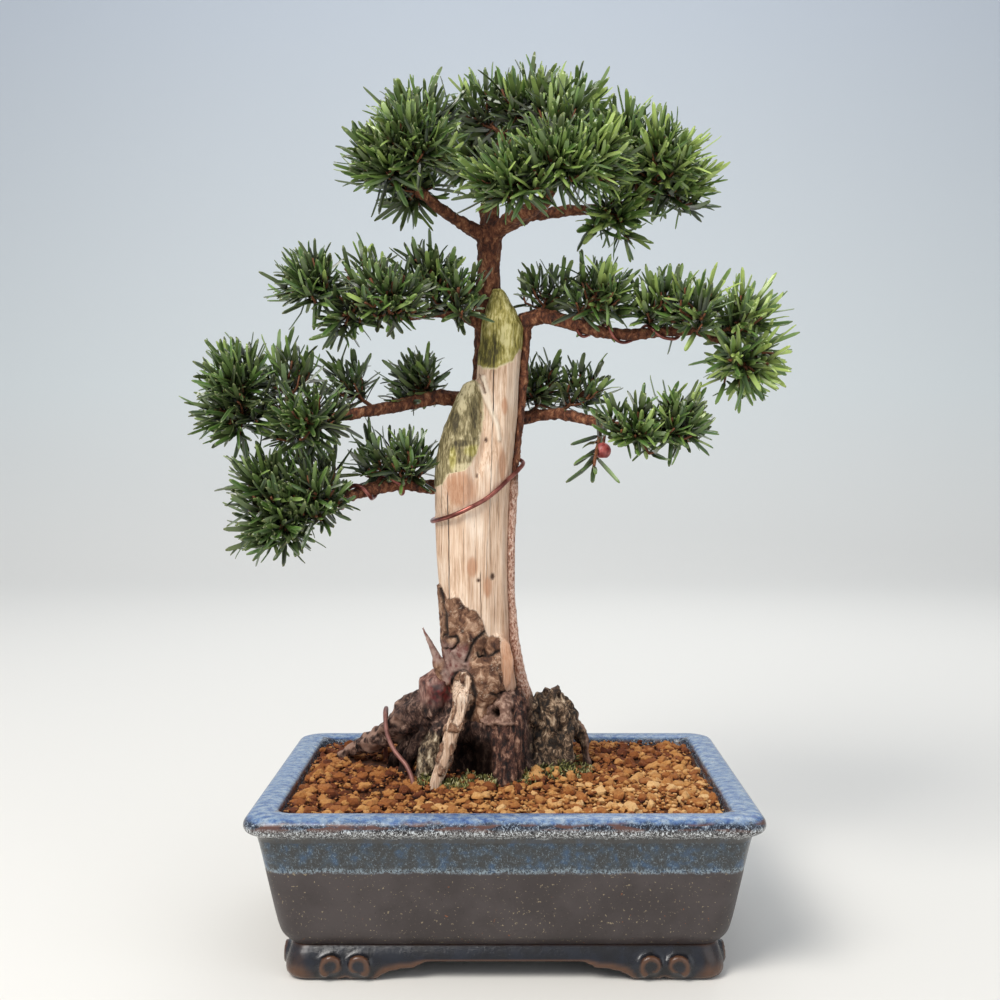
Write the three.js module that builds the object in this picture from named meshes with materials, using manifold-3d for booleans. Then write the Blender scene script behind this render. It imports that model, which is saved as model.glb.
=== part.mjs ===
// Japanese yew bonsai in its glazed pot: a bleached dead trunk with two broken tops, the living
// wood that climbs its back and right side and carries the branches and the crown, the leafy
// sprays, the training wires, the soil and the pot.
// Millimetres, +Z up, X to the viewer's right, Y away from the viewer. The pot stands on Z = 0.
import * as THREE from "three";
import { mergeVertices } from "three/addons/utils/BufferGeometryUtils.js";
import Module from "manifold-3d";

const wasm = await Module();
wasm.setup();

// Driving dimensions
const GAP = 0.3; // between pieces that touch
const POT_LENGTH = 242;
const POT_WIDTH = 180;
const POT_HEIGHT = 80;
const RIM_CORNER = 12; // corner radius of the rim, seen from above
const FLOOR_TOP = 24;
const FLOOR_BOTTOM = 15.5;
const FOOT_REACH = 60; // from the rim's end to a foot's inner end
const NOTCH_REACH = 46.5; // to the notch between a foot's two scrolls
const DRAIN_RADIUS = 9;
const DRAIN_SPACING = 110;
const SOIL_LEVEL = 74.5;
const GRANULE = 12;
const TRUNK_WIRE = 1.15; // wire radii
const BRANCH_WIRE = 0.9;
const NEEDLE_WIDTH = 2.7;
const NEEDLE_THICKNESS = 0.95;
const NEEDLE_SHORT = 14.5;
const NEEDLE_LONG = 22.5;

const V = (x, y, z) => new THREE.Vector3(x, y, z);
const UP = V(0, 0, 1);
const TURN = 2 * Math.PI;
const lerp = THREE.MathUtils.lerp;

// A repeatable draw between 0 and 1 for any two numbers.
function draw(a, b = 0) {
  const s = Math.sin(a * 12.9898 + b * 78.233 + 4.17) * 43758.5453;
  return s - Math.floor(s);
}

// Solids and meshes

function solid(geometry) {
  const bare = geometry.index ? geometry.toNonIndexed() : geometry.clone();
  bare.deleteAttribute("normal");
  bare.deleteAttribute("uv");
  const merged = mergeVertices(bare, 1e-4);
  return new wasm.Manifold(
    new wasm.Mesh({
      numProp: 3,
      vertProperties: merged.attributes.position.array,
      triVerts: new Uint32Array(merged.index.array),
    }),
  );
}

function geometryOf(made) {
  const mesh = made.getMesh();
  const places = new Float32Array(mesh.numVert * 3);
  for (let i = 0; i < mesh.numVert; i++) {
    const at = i * mesh.numProp;
    places.set(mesh.vertProperties.subarray(at, at + 3), i * 3);
  }
  const geometry = new THREE.BufferGeometry();
  geometry.setAttribute("position", new THREE.BufferAttribute(places, 3));
  geometry.setIndex(new THREE.BufferAttribute(mesh.triVerts, 1));
  geometry.computeVertexNormals();
  return geometry;
}

const join = (solids) => solids.reduce((all, one) => all.add(one));

// The main body of a cut solid, without the scraps that the cut left loose.
function mainBody(made) {
  const bodies = made.decompose();
  return bodies.reduce((best, one) => (one.volume() > best.volume() ? one : best));
}

function trianglesToGeometry(points, faces) {
  const geometry = new THREE.BufferGeometry();
  geometry.setAttribute(
    "position",
    new THREE.Float32BufferAttribute(points.flatMap((p) => [p.x, p.y, p.z]), 3),
  );
  geometry.setIndex(faces.flat());
  return geometry;
}

// A closed skin over rings of equal length, each counter-clockwise seen from the last ring's end.
function loft(rings) {
  const sides = rings[0].length;
  const points = rings.flat();
  const faces = [];
  for (let r = 0; r + 1 < rings.length; r++) {
    for (let i = 0; i < sides; i++) {
      const a = r * sides + i;
      const b = r * sides + ((i + 1) % sides);
      faces.push([a, b, b + sides], [a, b + sides, a + sides]);
    }
  }
  const middle = (ring) =>
    ring.reduce((sum, p) => sum.add(p), V(0, 0, 0)).divideScalar(ring.length);
  const first = points.push(middle(rings[0])) - 1;
  const last = points.push(middle(rings[rings.length - 1])) - 1;
  const top = (rings.length - 1) * sides;
  for (let i = 0; i < sides; i++) {
    const next = (i + 1) % sides;
    faces.push([first, next, i], [last, top + i, top + next]);
  }
  return solid(trianglesToGeometry(points, faces));
}

// Points along a smooth line with a frame at each, where side x lift = along.
function framesAlong(line, steps) {
  const frames = [];
  let side = null;
  for (let s = 0; s <= steps; s++) {
    const at = line.getPoint(s / steps);
    const along = line.getTangent(s / steps);
    if (!side) side = Math.abs(along.z) > 0.9 ? V(1, 0, 0) : V(0, 0, 1);
    side = side.clone().addScaledVector(along, -side.dot(along)).normalize();
    frames.push({ at, along, side, lift: along.clone().cross(side) });
  }
  return frames;
}

const smoothLine = (points) =>
  new THREE.CatmullRomCurve3(points.map((p) => V(...p)), false, "centripetal");

// The radius a share of the way along a list of radii.
function radiusAt(radii, share) {
  const place = Math.min(share, 0.9999) * (radii.length - 1);
  const before = Math.floor(place);
  return lerp(radii[before], radii[before + 1], place - before);
}

// A root, branch or twig: a tapering tube with a slightly knotted surface.
function limb({ points, radii, sides = 6, steps = 5, knots = 0.1, seed = 1 }, extra = 0) {
  const rings = framesAlong(smoothLine(points), steps).map((frame, s) =>
    Array.from({ length: sides }, (_, i) => {
      const angle = (TURN * i) / sides;
      const lump = 1 + knots * (draw(seed + s * 1.7, i * 3.1) - 0.5) * 2;
      const r = radiusAt(radii, s / steps) * lump + extra;
      return frame.at
        .clone()
        .addScaledVector(frame.side, r * Math.cos(angle))
        .addScaledVector(frame.lift, r * Math.sin(angle));
    }),
  );
  return loft(rings);
}

// A standing trunk: sections [z, centre x, centre y, half width, half depth, slope of the section].
function column({ sections, sides = 12, knots = 0.05, seed = 1 }, extra = 0) {
  const rings = sections.map(([z, x, y, wide, deep, slope = 0], s) =>
    Array.from({ length: sides }, (_, i) => {
      const angle = (TURN * i) / sides;
      const lump = 1 + knots * (draw(seed + i * 5.3, Math.floor(s / 2)) - 0.5) * 2;
      const dx = (wide * lump + extra) * Math.cos(angle);
      const dy = (deep * lump + extra) * Math.sin(angle);
      return V(x + dx, y + dy, z + slope * dx + (s === 0 ? -extra : 0));
    }),
  );
  rings[rings.length - 1].forEach((p) => (p.z += extra));
  return loft(rings);
}

// Pot: one fired piece with four cloud feet and two drain holes

function roundedRing(inset, z, narrower, perCorner = 3) {
  const halfX = POT_LENGTH / 2 - inset - narrower;
  const halfY = POT_WIDTH / 2 - inset;
  const corner = Math.max(RIM_CORNER - inset * 0.15, 7);
  const ring = [];
  [[1, 1], [-1, 1], [-1, -1], [1, -1]].forEach(([sx, sy], quarter) => {
    for (let k = 0; k <= perCorner; k++) {
      const angle = ((quarter + k / perCorner) * TURN) / 4;
      ring.push(
        V(
          sx * (halfX - corner) + corner * Math.cos(angle),
          sy * (halfY - corner) + corner * Math.sin(angle),
          z,
        ),
      );
    }
  });
  return ring;
}

// A skin through levels given as [z, inset from the rim, further inset at the short sides].
const skinOf = (profile) =>
  loft(profile.map(([z, inset, narrower = 0]) => roundedRing(inset, z, narrower)));

const INNER_WALL = [
  [POT_HEIGHT - 1.4, 15],
  [70, 16.6],
  [30, 22.8],
  [FLOOR_TOP, 28],
];

function cylinder(radius, low, high, x, y, sides = 14) {
  const geometry = new THREE.CylinderGeometry(radius, radius, high - low, sides);
  geometry.rotateX(Math.PI / 2).translate(x, y, (low + high) / 2);
  return solid(geometry);
}

// The stepped arch between two feet, cut right through along the other axis.
function archCut(halfSpan, ledge, reach) {
  const side = [
    [halfSpan, -1],
    [halfSpan - 3, 2.6],
    [halfSpan - 8, 4.8],
    [halfSpan - 13, 5.7],
    [halfSpan - 13 - ledge, 6],
    [halfSpan - 17 - ledge, 8],
    [halfSpan - 21 - ledge, 9],
  ];
  const outline = [...side, ...side.map(([x, z]) => [-x, z]).reverse()];
  const shape = new THREE.Shape(outline.map(([x, z]) => new THREE.Vector2(x, z)));
  const geometry = new THREE.ExtrudeGeometry(shape, { depth: 2 * reach, bevelEnabled: false });
  return geometry.rotateX(Math.PI / 2).translate(0, reach, 0);
}

// The little notch between the two scrolls of a foot.
function footNotch(x, reach) {
  const shape = new THREE.Shape(
    [[x - 3.2, -1], [x + 3.2, -1], [x, 1.9]].map(([u, v]) => new THREE.Vector2(u, v)),
  );
  const geometry = new THREE.ExtrudeGeometry(shape, { depth: 2 * reach, bevelEnabled: false });
  return geometry.rotateX(Math.PI / 2).translate(0, reach, 0);
}

function makePot() {
  const bowl = skinOf([
    [FLOOR_BOTTOM, 20.5],
    [17.5, 18.6],
    [21, 15.8],
    [27, 14],
    [68.5, 6],
    [70.5, 4.6],
    [71.8, 1.4],
    [74.5, 0],
    [77.8, 0.7],
    [POT_HEIGHT, 3.6],
    [POT_HEIGHT, 12],
    ...INNER_WALL,
  ]);
  const skirt = skinOf([
    [0, 19.4, 1.5],
    [1.4, 16.8, 1.5],
    [5, 15.8, 1.5],
    [11, 17.2, 1.5],
    [FLOOR_BOTTOM + 1, 20.6],
  ]);
  const hollow = skinOf([
    [-1, 33],
    [FLOOR_BOTTOM, 31],
  ]);
  const frontSpan = POT_LENGTH / 2 - FOOT_REACH;
  const sideSpan = POT_WIDTH / 2 - FOOT_REACH + 6;
  let feet = skirt
    .subtract(hollow)
    .subtract(solid(archCut(frontSpan, 5, POT_WIDTH)))
    .subtract(solid(archCut(sideSpan, 1, POT_LENGTH).rotateZ(Math.PI / 2)));
  const frontNotch = POT_LENGTH / 2 - NOTCH_REACH;
  const sideNotch = POT_WIDTH / 2 - NOTCH_REACH + 5;
  [-1, 1].forEach((hand) => {
    feet = feet
      .subtract(solid(footNotch(hand * frontNotch, POT_WIDTH)))
      .subtract(solid(footNotch(hand * sideNotch, POT_LENGTH).rotateZ(Math.PI / 2)));
  });
  let pot = bowl.add(feet);
  [-1, 1].forEach((hand) => {
    const x = (hand * DRAIN_SPACING) / 2;
    pot = pot.subtract(cylinder(DRAIN_RADIUS, FLOOR_BOTTOM - 3, FLOOR_TOP + 3, x, 0));
  });
  return pot;
}

// Drain screens: plastic lattices that keep the soil in

const SCREEN_SIDE = 30;
const SCREEN_THICKNESS = 1.4;
const SCREEN_CELLS = 2;

function makeScreen(x) {
  const low = FLOOR_TOP + GAP;
  const middle = low + SCREEN_THICKNESS / 2;
  const plate = new THREE.BoxGeometry(SCREEN_SIDE, SCREEN_SIDE, SCREEN_THICKNESS);
  const cell = SCREEN_SIDE / SCREEN_CELLS;
  const holes = [];
  for (let i = 0; i < SCREEN_CELLS; i++) {
    for (let j = 0; j < SCREEN_CELLS; j++) {
      const hole = new THREE.BoxGeometry(cell * 0.72, cell * 0.72, SCREEN_THICKNESS + 2);
      const u = (i - (SCREEN_CELLS - 1) / 2) * cell;
      const v = (j - (SCREEN_CELLS - 1) / 2) * cell;
      holes.push(solid(hole.translate(x + u, v, middle)));
    }
  }
  return solid(plate.translate(x, 0, middle)).subtract(join(holes));
}

function screenRoom(x) {
  const side = SCREEN_SIDE + 2 * GAP;
  const geometry = new THREE.BoxGeometry(side, side, SCREEN_THICKNESS + 3 * GAP);
  return solid(geometry.translate(x, 0, FLOOR_TOP + GAP + SCREEN_THICKNESS / 2));
}

// Dead trunk: the tall broken column, the lower broken leader at its left and the old root peg

const COLUMN = {
  sides: 11,
  knots: 0.04,
  seed: 3,
  sections: [
    [102, -9.5, 7, 17, 13],
    [110, -10, 6, 20, 15.5],
    [126, -12.8, 5.5, 19, 15.5],
    [147, -15.2, 5, 18.2, 15],
    [168, -16.3, 4.5, 18, 15],
    [194, -17.6, 4.5, 18.8, 15.5],
    [214, -17.5, 4.5, 19.3, 15.5],
    [231, -12.4, 4.5, 15.2, 14.5],
    [247, -6.6, 5, 11, 12.5],
    [265, -4.6, 5, 10.6, 11],
    [284, -4, 5, 11.3, 9.8],
    [298, -3, 5, 11.7, 8.8],
    [314, -1.4, 5, 10.6, 7.4, -0.15],
    [325, -2.2, 5, 6.6, 5.4, -0.3],
    [332, -3.4, 5, 3.2, 3, -0.2],
  ],
};
const LOWER_LEADER = {
  sides: 9,
  knots: 0.07,
  seed: 8,
  sections: [
    [198, -19, 3, 15, 12],
    [216, -21.6, 1.5, 16.2, 13],
    [231, -22.6, 0.5, 15.4, 13],
    [243, -22.6, 0, 14.2, 12],
    [254, -22, -0.5, 12, 10.5],
    [265, -20.6, -0.5, 9.6, 9],
    [275, -19, -0.5, 7, 7, 0.15],
    [283, -18.4, -0.5, 3.8, 4, 0.4],
  ],
};
const ROOT_PEG = {
  points: [[-21, -5, 124], [-23, -13, 116], [-28, -16, 98], [-34, -18, 82], [-38, -20, 66]],
  radii: [5, 5.4, 4.8, 4.4, 3.6],
  sides: 6,
  steps: 5,
  knots: 0.12,
  seed: 12,
};
const SPLINTER = {
  points: [[-30, -1, 126], [-35, -3, 138], [-39, -4, 147], [-43, -4, 155]],
  radii: [4, 2.8, 1.6, 0.8],
  sides: 5,
  steps: 3,
  seed: 14,
};
// Plates of old grey bark left on the lower trunk, as [x, z, half width, half height].
const BARK_PLATES = [
  [-20, 150, 8.5, 14],
  [-5, 136, 10, 15],
  [-27, 158, 5, 15],
  [-12, 128, 9, 12],
];

function barkPlate([x, z, wide, high], extra) {
  const columnFront = -11.5; // the column's front face at this height, in Y
  const rings = [-1, -0.6, 0.1, 0.7, 1].map((v, r) => {
    const width = wide * Math.sqrt(Math.max(1 - 0.86 * v * v, 0.05)) + extra;
    const bulge = columnFront + 0.9 - 2.6 * (1 - v * v) - extra;
    const dip = 0.02 * x * x - 0.34 * Math.abs(x + 12);
    const front = bulge - dip * 0.3 + Math.abs(x + 13) * 0.3;
    const level = z + v * (high + extra);
    const lean = (draw(x, r) - 0.5) * 2;
    return [
      V(x - width, front + 1.6 + Math.max(0, -14 - x) * 0.35, level),
      V(x - width * 0.4, front, level + lean),
      V(x + width * 0.4, front + 0.2, level - lean),
      V(x + width, front + 1.4, level),
      V(x + width * 0.6, 4, level),
      V(x - width * 0.6, 4, level),
    ];
  });
  return loft(rings);
}

const deadTrunk = (extra = 0) =>
  join([
    column(COLUMN, extra),
    column(LOWER_LEADER, extra),
    limb(ROOT_PEG, extra),
    limb(SPLINTER, extra),
    ...BARK_PLATES.map((plate) => barkPlate(plate, extra)),
  ]);

// Living wood: root base, roots, the strip up the back, the vein at the right and the branches

const ROOT_BASE = {
  sides: 10,
  knots: 0.1,
  seed: 21,
  sections: [
    [60, -6, 10, 26, 21],
    [74, -7, 9, 27, 21.5],
    [88, -8, 8.5, 25, 20],
    [102, -9, 8, 23.8, 18.6],
    [114, -10, 7.5, 22.8, 18],
    [121, -11, 9, 21.4, 17, 0.12],
  ],
};
const ROOTS = {
  left_long: {
    points: [
      [-20, 7, 112],
      [-44, 8, 110],
      [-54, 11, 103],
      [-62, 17, 96],
      [-70, 24, 90],
      [-82, 33, 84],
      [-97, 41, 74],
    ],
    radii: [14, 11, 9, 7.6, 6, 4.6, 2.4],
    steps: 7,
    knots: 0.16,
    seed: 31,
  },
  left_front: {
    points: [[-26, 0, 106], [-36, -4, 94], [-42, -8, 82], [-45, -11, 64]],
    radii: [8, 6.4, 5.4, 4.4],
    knots: 0.18,
    seed: 32,
  },
  middle: {
    points: [[2, -2, 118], [2, -8, 104], [1, -11, 90], [0, -13, 62]],
    radii: [9, 9.6, 9.2, 10],
    sides: 7,
    steps: 4,
    knots: 0.16,
    seed: 34,
  },
  right_stump: {
    points: [[6, 16, 62], [16, 17, 82], [23, 18, 98], [23, 19, 113]],
    radii: [22, 20, 15.5, 8],
    sides: 8,
    steps: 5,
    knots: 0.2,
    seed: 35,
  },
  right_long: {
    points: [[30, 20, 107], [39, 21, 97], [43.5, 22, 84], [46, 23, 62]],
    radii: [5.5, 4.4, 3.6, 3],
    knots: 0.18,
    seed: 36,
  },
  back_left: {
    points: [[-16, 18, 100], [-28, 34, 84], [-40, 48, 70]],
    radii: [11, 8, 4.5],
    steps: 4,
    knots: 0.15,
    seed: 37,
  },
  back_right: {
    points: [[4, 22, 98], [10, 38, 82], [14, 54, 68]],
    radii: [10, 7.5, 4],
    steps: 4,
    knots: 0.15,
    seed: 38,
  },
};
const LEFT_BURL = {
  points: [[-28, 2, 134], [-36, 1, 124], [-37, 2, 108]],
  radii: [3, 10, 8],
  sides: 7,
  steps: 4,
  knots: 0.05,
  seed: 40,
};
const BACK_STRIP = {
  sides: 8,
  knots: 0.06,
  seed: 42,
  sections: [
    [100, -9, 16, 20, 14],
    [134, -12, 15, 16, 11],
    [180, -15.5, 15, 14, 9.2],
    [230, -13, 16, 13, 8.8],
    [264, -8, 15.5, 11.4, 7.8],
    [300, -7, 14.5, 9.6, 6.8],
    [326, -9, 13, 7.2, 6.2],
    [347, -8.8, 11, 6.2, 6],
    [359, -8.4, 8.8, 6.8, 6.4],
    [366, -8, 8, 4.4, 4.4],
  ],
};
const VEIN = {
  points: [
    [15, 9, 102],
    [10.6, 6.5, 118],
    [6.4, 5, 138],
    [3.4, 4, 160],
    [2.6, 4, 190],
    [3, 4, 215],
    [4.4, 5, 240],
    [7.6, 6.5, 264],
    [9.6, 7, 290],
    [11, 7, 310],
    [12.6, 7, 318],
  ],
  radii: [4, 2.7, 2.3, 2.1, 2.2, 2.5, 3.2, 2.9, 2.6, 3.2, 4.4],
  sides: 5,
  steps: 12,
  knots: 0.08,
  seed: 44,
};
// Each branch starts in the living wood and carries its own sprays. A spray's head is the middle
// of its tuft, and a spray with two shoots is a larger one.
const BRANCHES = {
  crown_left: {
    points: [[-9, 8, 360], [-20, 4, 365], [-31, -4, 371], [-41, -10, 378], [-53, -14, 391]],
    radii: [5, 4, 3.5, 3.2, 2],
    heads: [
      [-68, -26, 396, 2],
      [-50, -42, 406, 2],
      [-41, -12, 425, 2],
      [-50, 2, 384, 1],
    ],
  },
  crown_front: {
    points: [[-7, 8, 361], [5, -4, 369], [17, -16, 372], [24, -26, 379], [23, -34, 392]],
    radii: [5.4, 5, 4.6, 4, 2.2],
    heads: [
      [22, -58, 388, 2],
      [-10, -46, 379, 2],
      [48, -48, 394, 2],
      [27, -30, 420, 1],
    ],
  },
  crown_right: {
    points: [[-4, 8, 364], [18, 10, 373], [45, 8, 375], [67, 4, 376], [86, 0, 386]],
    radii: [4.4, 3.6, 3.2, 2.8, 1.8],
    heads: [
      [62, -12, 414, 2],
      [78, -26, 402, 2],
      [94, -6, 382, 1],
      [82, 20, 394, 1],
      [58, -12, 367, 1],
    ],
  },
  crown_back: {
    points: [[-9, 10, 361], [-10, 26, 381], [-2, 42, 404], [10, 50, 414]],
    radii: [4.6, 3.8, 3, 1.8],
    heads: [
      [-24, 52, 418, 2],
      [16, 61, 424, 2],
      [46, 44, 418, 1],
    ],
  },
  crown_top: {
    points: [[-8, 8, 362], [-5, 6, 385], [-3, 4, 405], [0, 4, 418]],
    radii: [4.4, 3.6, 2.8, 1.8],
    heads: [
      [-16, 16, 432, 1],
      [13, -2, 434, 2],
      [44, 10, 432, 2],
    ],
  },
  upper_left: {
    points: [
      [-10, 14, 314],
      [-27, 6, 320],
      [-42, -2, 319],
      [-58, -10, 316],
      [-76, -18, 320],
      [-93, -22, 328],
    ],
    radii: [4.4, 3.8, 3.2, 2.8, 2.4, 1.6],
    heads: [
      [-103, -24, 335, 2],
      [-80, -36, 314, 1],
      [-58, -42, 328, 2],
      [-74, 2, 343, 1],
      [-44, -8, 344, 2],
      [-24, -20, 326, 1],
    ],
  },
  middle_left: {
    points: [
      [-14, 20, 274],
      [-40, 12, 275],
      [-58, 4, 270],
      [-76, -4, 267],
      [-94, -10, 264],
      [-115, -14, 268],
      [-133, -16, 274],
    ],
    radii: [5, 4.4, 3.8, 3.6, 3, 2.4, 1.6],
    heads: [
      [-142, -18, 289, 2],
      [-117, 2, 291, 1],
      [-88, 8, 286, 1],
      [-137, -32, 262, 2],
      [-98, -44, 262, 2],
      [-50, 26, 288, 2],
    ],
  },
  lower_left: {
    points: [
      [-22, 18, 230],
      [-43, 10, 227],
      [-55, 2, 230],
      [-70, -6, 227],
      [-85, -14, 222],
      [-98, -20, 215],
      [-112, -24, 212],
    ],
    radii: [5, 4.4, 4, 3.6, 3.2, 2.6, 1.6],
    heads: [
      [-128, -24, 238, 2],
      [-104, -4, 240, 1],
      [-122, -34, 208, 2],
      [-94, -42, 226, 2],
      [-70, 4, 245, 1],
      [-50, -6, 244, 1],
    ],
  },
  upper_right: {
    points: [
      [8, 8, 315],
      [21, 1, 318],
      [39, -6, 312],
      [55, -9, 307],
      [74, -12, 307],
      [94, -16, 309],
      [109, -20, 303],
      [119, -23, 297],
    ],
    radii: [4.8, 4.4, 4, 3.6, 3.2, 2.8, 2.2, 1.6],
    heads: [
      [24, 14, 334, 1],
      [50, -26, 332, 2],
      [54, 18, 328, 1],
      [78, -16, 328, 2],
      [100, -36, 320, 1],
      [126, -22, 319, 2],
      [122, -30, 286, 2],
    ],
  },
  lower_right: {
    points: [
      [-6, 19, 261],
      [6, 23, 263],
      [20, 22, 267],
      [35, 15, 266],
      [50, 1, 261],
      [65, -12, 260],
      [82, -18, 259],
    ],
    radii: [5, 4.4, 3.8, 3.4, 2.8, 2.2, 1.5],
    heads: [
      [25, 34, 288, 2],
      [46, 24, 283, 1],
      [46, -16, 243, 1],
      [68, -32, 256, 2],
      [94, -14, 262, 2],
    ],
  },
};
const BRANCH_SIDES = 5;

function branchLimb(name, extra = 0) {
  const { points, radii } = BRANCHES[name];
  const seed = 50 + Object.keys(BRANCHES).indexOf(name);
  const steps = points.length;
  return limb({ points, radii, sides: BRANCH_SIDES, steps, knots: 0.1, seed }, extra);
}

// The cave under the trunk, between the middle root and the left ones.
function rootCave(extra) {
  const geometry = new THREE.SphereGeometry(1, 9, 6);
  geometry.scale(10.5 - extra, 18 - extra, 17 - extra).translate(-21, -17, 84);
  return solid(geometry);
}

function livingWood(extra = 0) {
  const base = column(ROOT_BASE, extra).subtract(rootCave(extra));
  const stump = limb(LEFT_BURL, extra);
  const roots = Object.values(ROOTS).map((root) => limb(root, extra));
  const stems = Object.keys(BRANCHES).map((name) => branchLimb(name, extra));
  return join([base, stump, ...roots, column(BACK_STRIP, extra), limb(VEIN, extra), ...stems]);
}

// Wires

// A closed round wire along a list of points.
function wire(points, radius, steps, sides = 4) {
  const line = new THREE.CatmullRomCurve3(points, false, "centripetal");
  const rings = framesAlong(line, steps).map((frame) =>
    Array.from({ length: sides }, (_, i) => {
      const angle = (TURN * (i + 0.5)) / sides;
      return frame.at
        .clone()
        .addScaledVector(frame.side, radius * Math.cos(angle))
        .addScaledVector(frame.lift, radius * Math.sin(angle));
    }),
  );
  return loft(rings);
}

// How far the wood reaches from a point in a direction, up to a limit.
function reachOf(wood, from, direction, limit) {
  const ray = new THREE.Raycaster(
    from.clone().addScaledVector(direction, limit),
    direction.clone().negate(),
    0,
    limit,
  );
  const hit = ray.intersectObject(wood)[0];
  return hit ? limit - hit.distance : 0;
}

// The furthest that the wood reaches round a direction, so that a straight run of wire clears it.
function fanReach(wood, from, direction, along, limit) {
  const across = along.clone().cross(direction).normalize();
  const reaches = [-1, 0, 1].flatMap((u) =>
    [-1, 0, 1].map((v) => {
      const start = from.clone().addScaledVector(along, v * 1.6);
      const way = direction.clone().addScaledVector(across, u * 0.16).normalize();
      return reachOf(wood, start, way, limit);
    }),
  );
  return Math.max(...reaches);
}

// Points wound round a branch between two shares of its length.
function windingOf(wood, name, [start, end], turns, phase, radius) {
  const line = smoothLine(BRANCHES[name].points);
  const perTurn = 9;
  const count = Math.round(turns * perTurn);
  const frames = framesAlong(line, 60);
  return Array.from({ length: count + 1 }, (_, k) => {
    const frame = frames[Math.round(lerp(start, end, k / count) * 60)];
    const angle = phase + (TURN * k) / perTurn;
    const out = frame.side
      .clone()
      .multiplyScalar(Math.cos(angle))
      .addScaledVector(frame.lift, Math.sin(angle));
    const away = fanReach(wood, frame.at, out, frame.along, 7) + radius + 2 * GAP;
    return frame.at.clone().addScaledVector(out, away);
  });
}

// Points round the trunk: [angle in degrees from +X, height].
const TRUNK_TURN = [
  [118, 234],
  [96, 239],
  [72, 243],
  [48, 245],
  [22, 244],
  [0, 241],
  [-22, 237],
  [-42, 232],
  [-62, 227],
  [-82, 222],
  [-102, 218],
  [-122, 214],
  [-142, 211.5],
  [-162, 210],
  [180, 210.5],
  [158, 212],
  [138, 213],
  [118, 212],
];

// The anchor wire leaves the soil, crosses the long left root and goes back into the soil.
const ANCHOR_POINTS = [
  [-66, 38, 62],
  [-66, 35, 86],
  [-65, 28, 102],
  [-64, 18, 108.5],
  [-63.5, 7, 107.5],
  [-61.5, -2, 99],
  [-57, -9, 92],
  [-50, -15, 85],
  [-46.5, -20, 77],
  [-46, -21, 62],
].map((p) => V(...p));

function trunkTurn(wood) {
  return TRUNK_TURN.map(([degrees, z]) => {
    const angle = THREE.MathUtils.degToRad(degrees);
    const out = V(Math.cos(angle), Math.sin(angle), 0);
    const middle = V(-13, 9, z);
    const away = fanReach(wood, middle, out, UP, 45) + TRUNK_WIRE + 1.6 * GAP;
    return middle.addScaledVector(out, away);
  });
}

function makeWires(wood) {
  const lower = windingOf(wood, "lower_left", [0.3, 0.84], 3.1, 2.4, TRUNK_WIRE).reverse();
  const round = trunkTurn(wood);
  const upper = windingOf(wood, "upper_right", [0.28, 0.72], 2.6, 2.2, BRANCH_WIRE);
  return {
    trunk_wire: wire(round, TRUNK_WIRE, 32),
    lower_left_wire: wire(lower, TRUNK_WIRE, 28),
    upper_right_wire: wire(upper, BRANCH_WIRE, 24),
    anchor_wire: wire(ANCHOR_POINTS, TRUNK_WIRE, 16),
  };
}

// Leafy sprays

const CORE_RADIUS = 1.25;
const CORE_STEP = 3;
const TWIG_RADIUS = 1.15;
const SHOULDER = 0.7; // where a needle starts to narrow, as a share of its length

// A three-cornered ring round a point, turned by an angle.
function triangleRound(at, side, lift, radius, turn) {
  return [0, 1, 2].map((i) => {
    const angle = turn + (TURN * i) / 3;
    return at
      .clone()
      .addScaledVector(side, radius * Math.cos(angle))
      .addScaledVector(lift, radius * Math.sin(angle));
  });
}

// The rings of a shoot's twig, from its branch to just under the shoot.
function twigRings(shoot, extra = 0) {
  const { from, bend, at, side, turn } = shoot;
  const line = new THREE.QuadraticBezierCurve3(from, bend, at);
  return [0, 0.55].map((t) => {
    const along = line.getTangent(t);
    const across = side.clone().addScaledVector(along, -side.dot(along)).normalize();
    const lift = along.clone().cross(across);
    return triangleRound(line.getPoint(t), across, lift, TWIG_RADIUS + extra, turn);
  });
}

// The rings of a shoot's stem, each turned by a sixth of a turn from the one below it.
function coreRings(shoot, extra = 0) {
  return Array.from({ length: shoot.gaps + 1 }, (_, r) => {
    const middle = shoot.at.clone().addScaledVector(shoot.along, r * CORE_STEP);
    const radius = CORE_RADIUS * (1 - (0.25 * r) / shoot.gaps) + extra;
    return triangleRound(middle, shoot.side, shoot.lift, radius, shoot.turn + (TURN * r) / 6);
  });
}

// The stem's faces, each as two corners and an apex, with how high it lies on the shoot.
function coreFaces(shoot) {
  const rings = coreRings(shoot);
  const faces = [];
  for (let r = 0; r < shoot.gaps; r++) {
    for (let i = 0; i < 3; i++) {
      const next = (i + 1) % 3;
      const [low, high] = [rings[r], rings[r + 1]];
      faces.push({ root: [low[i], low[next], high[i]], height: (r + 0.33) / shoot.gaps });
      faces.push({ root: [high[next], high[i], low[next]], height: (r + 0.67) / shoot.gaps });
    }
  }
  faces.push({ root: rings[shoot.gaps], height: 1, last: true });
  return faces;
}

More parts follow.
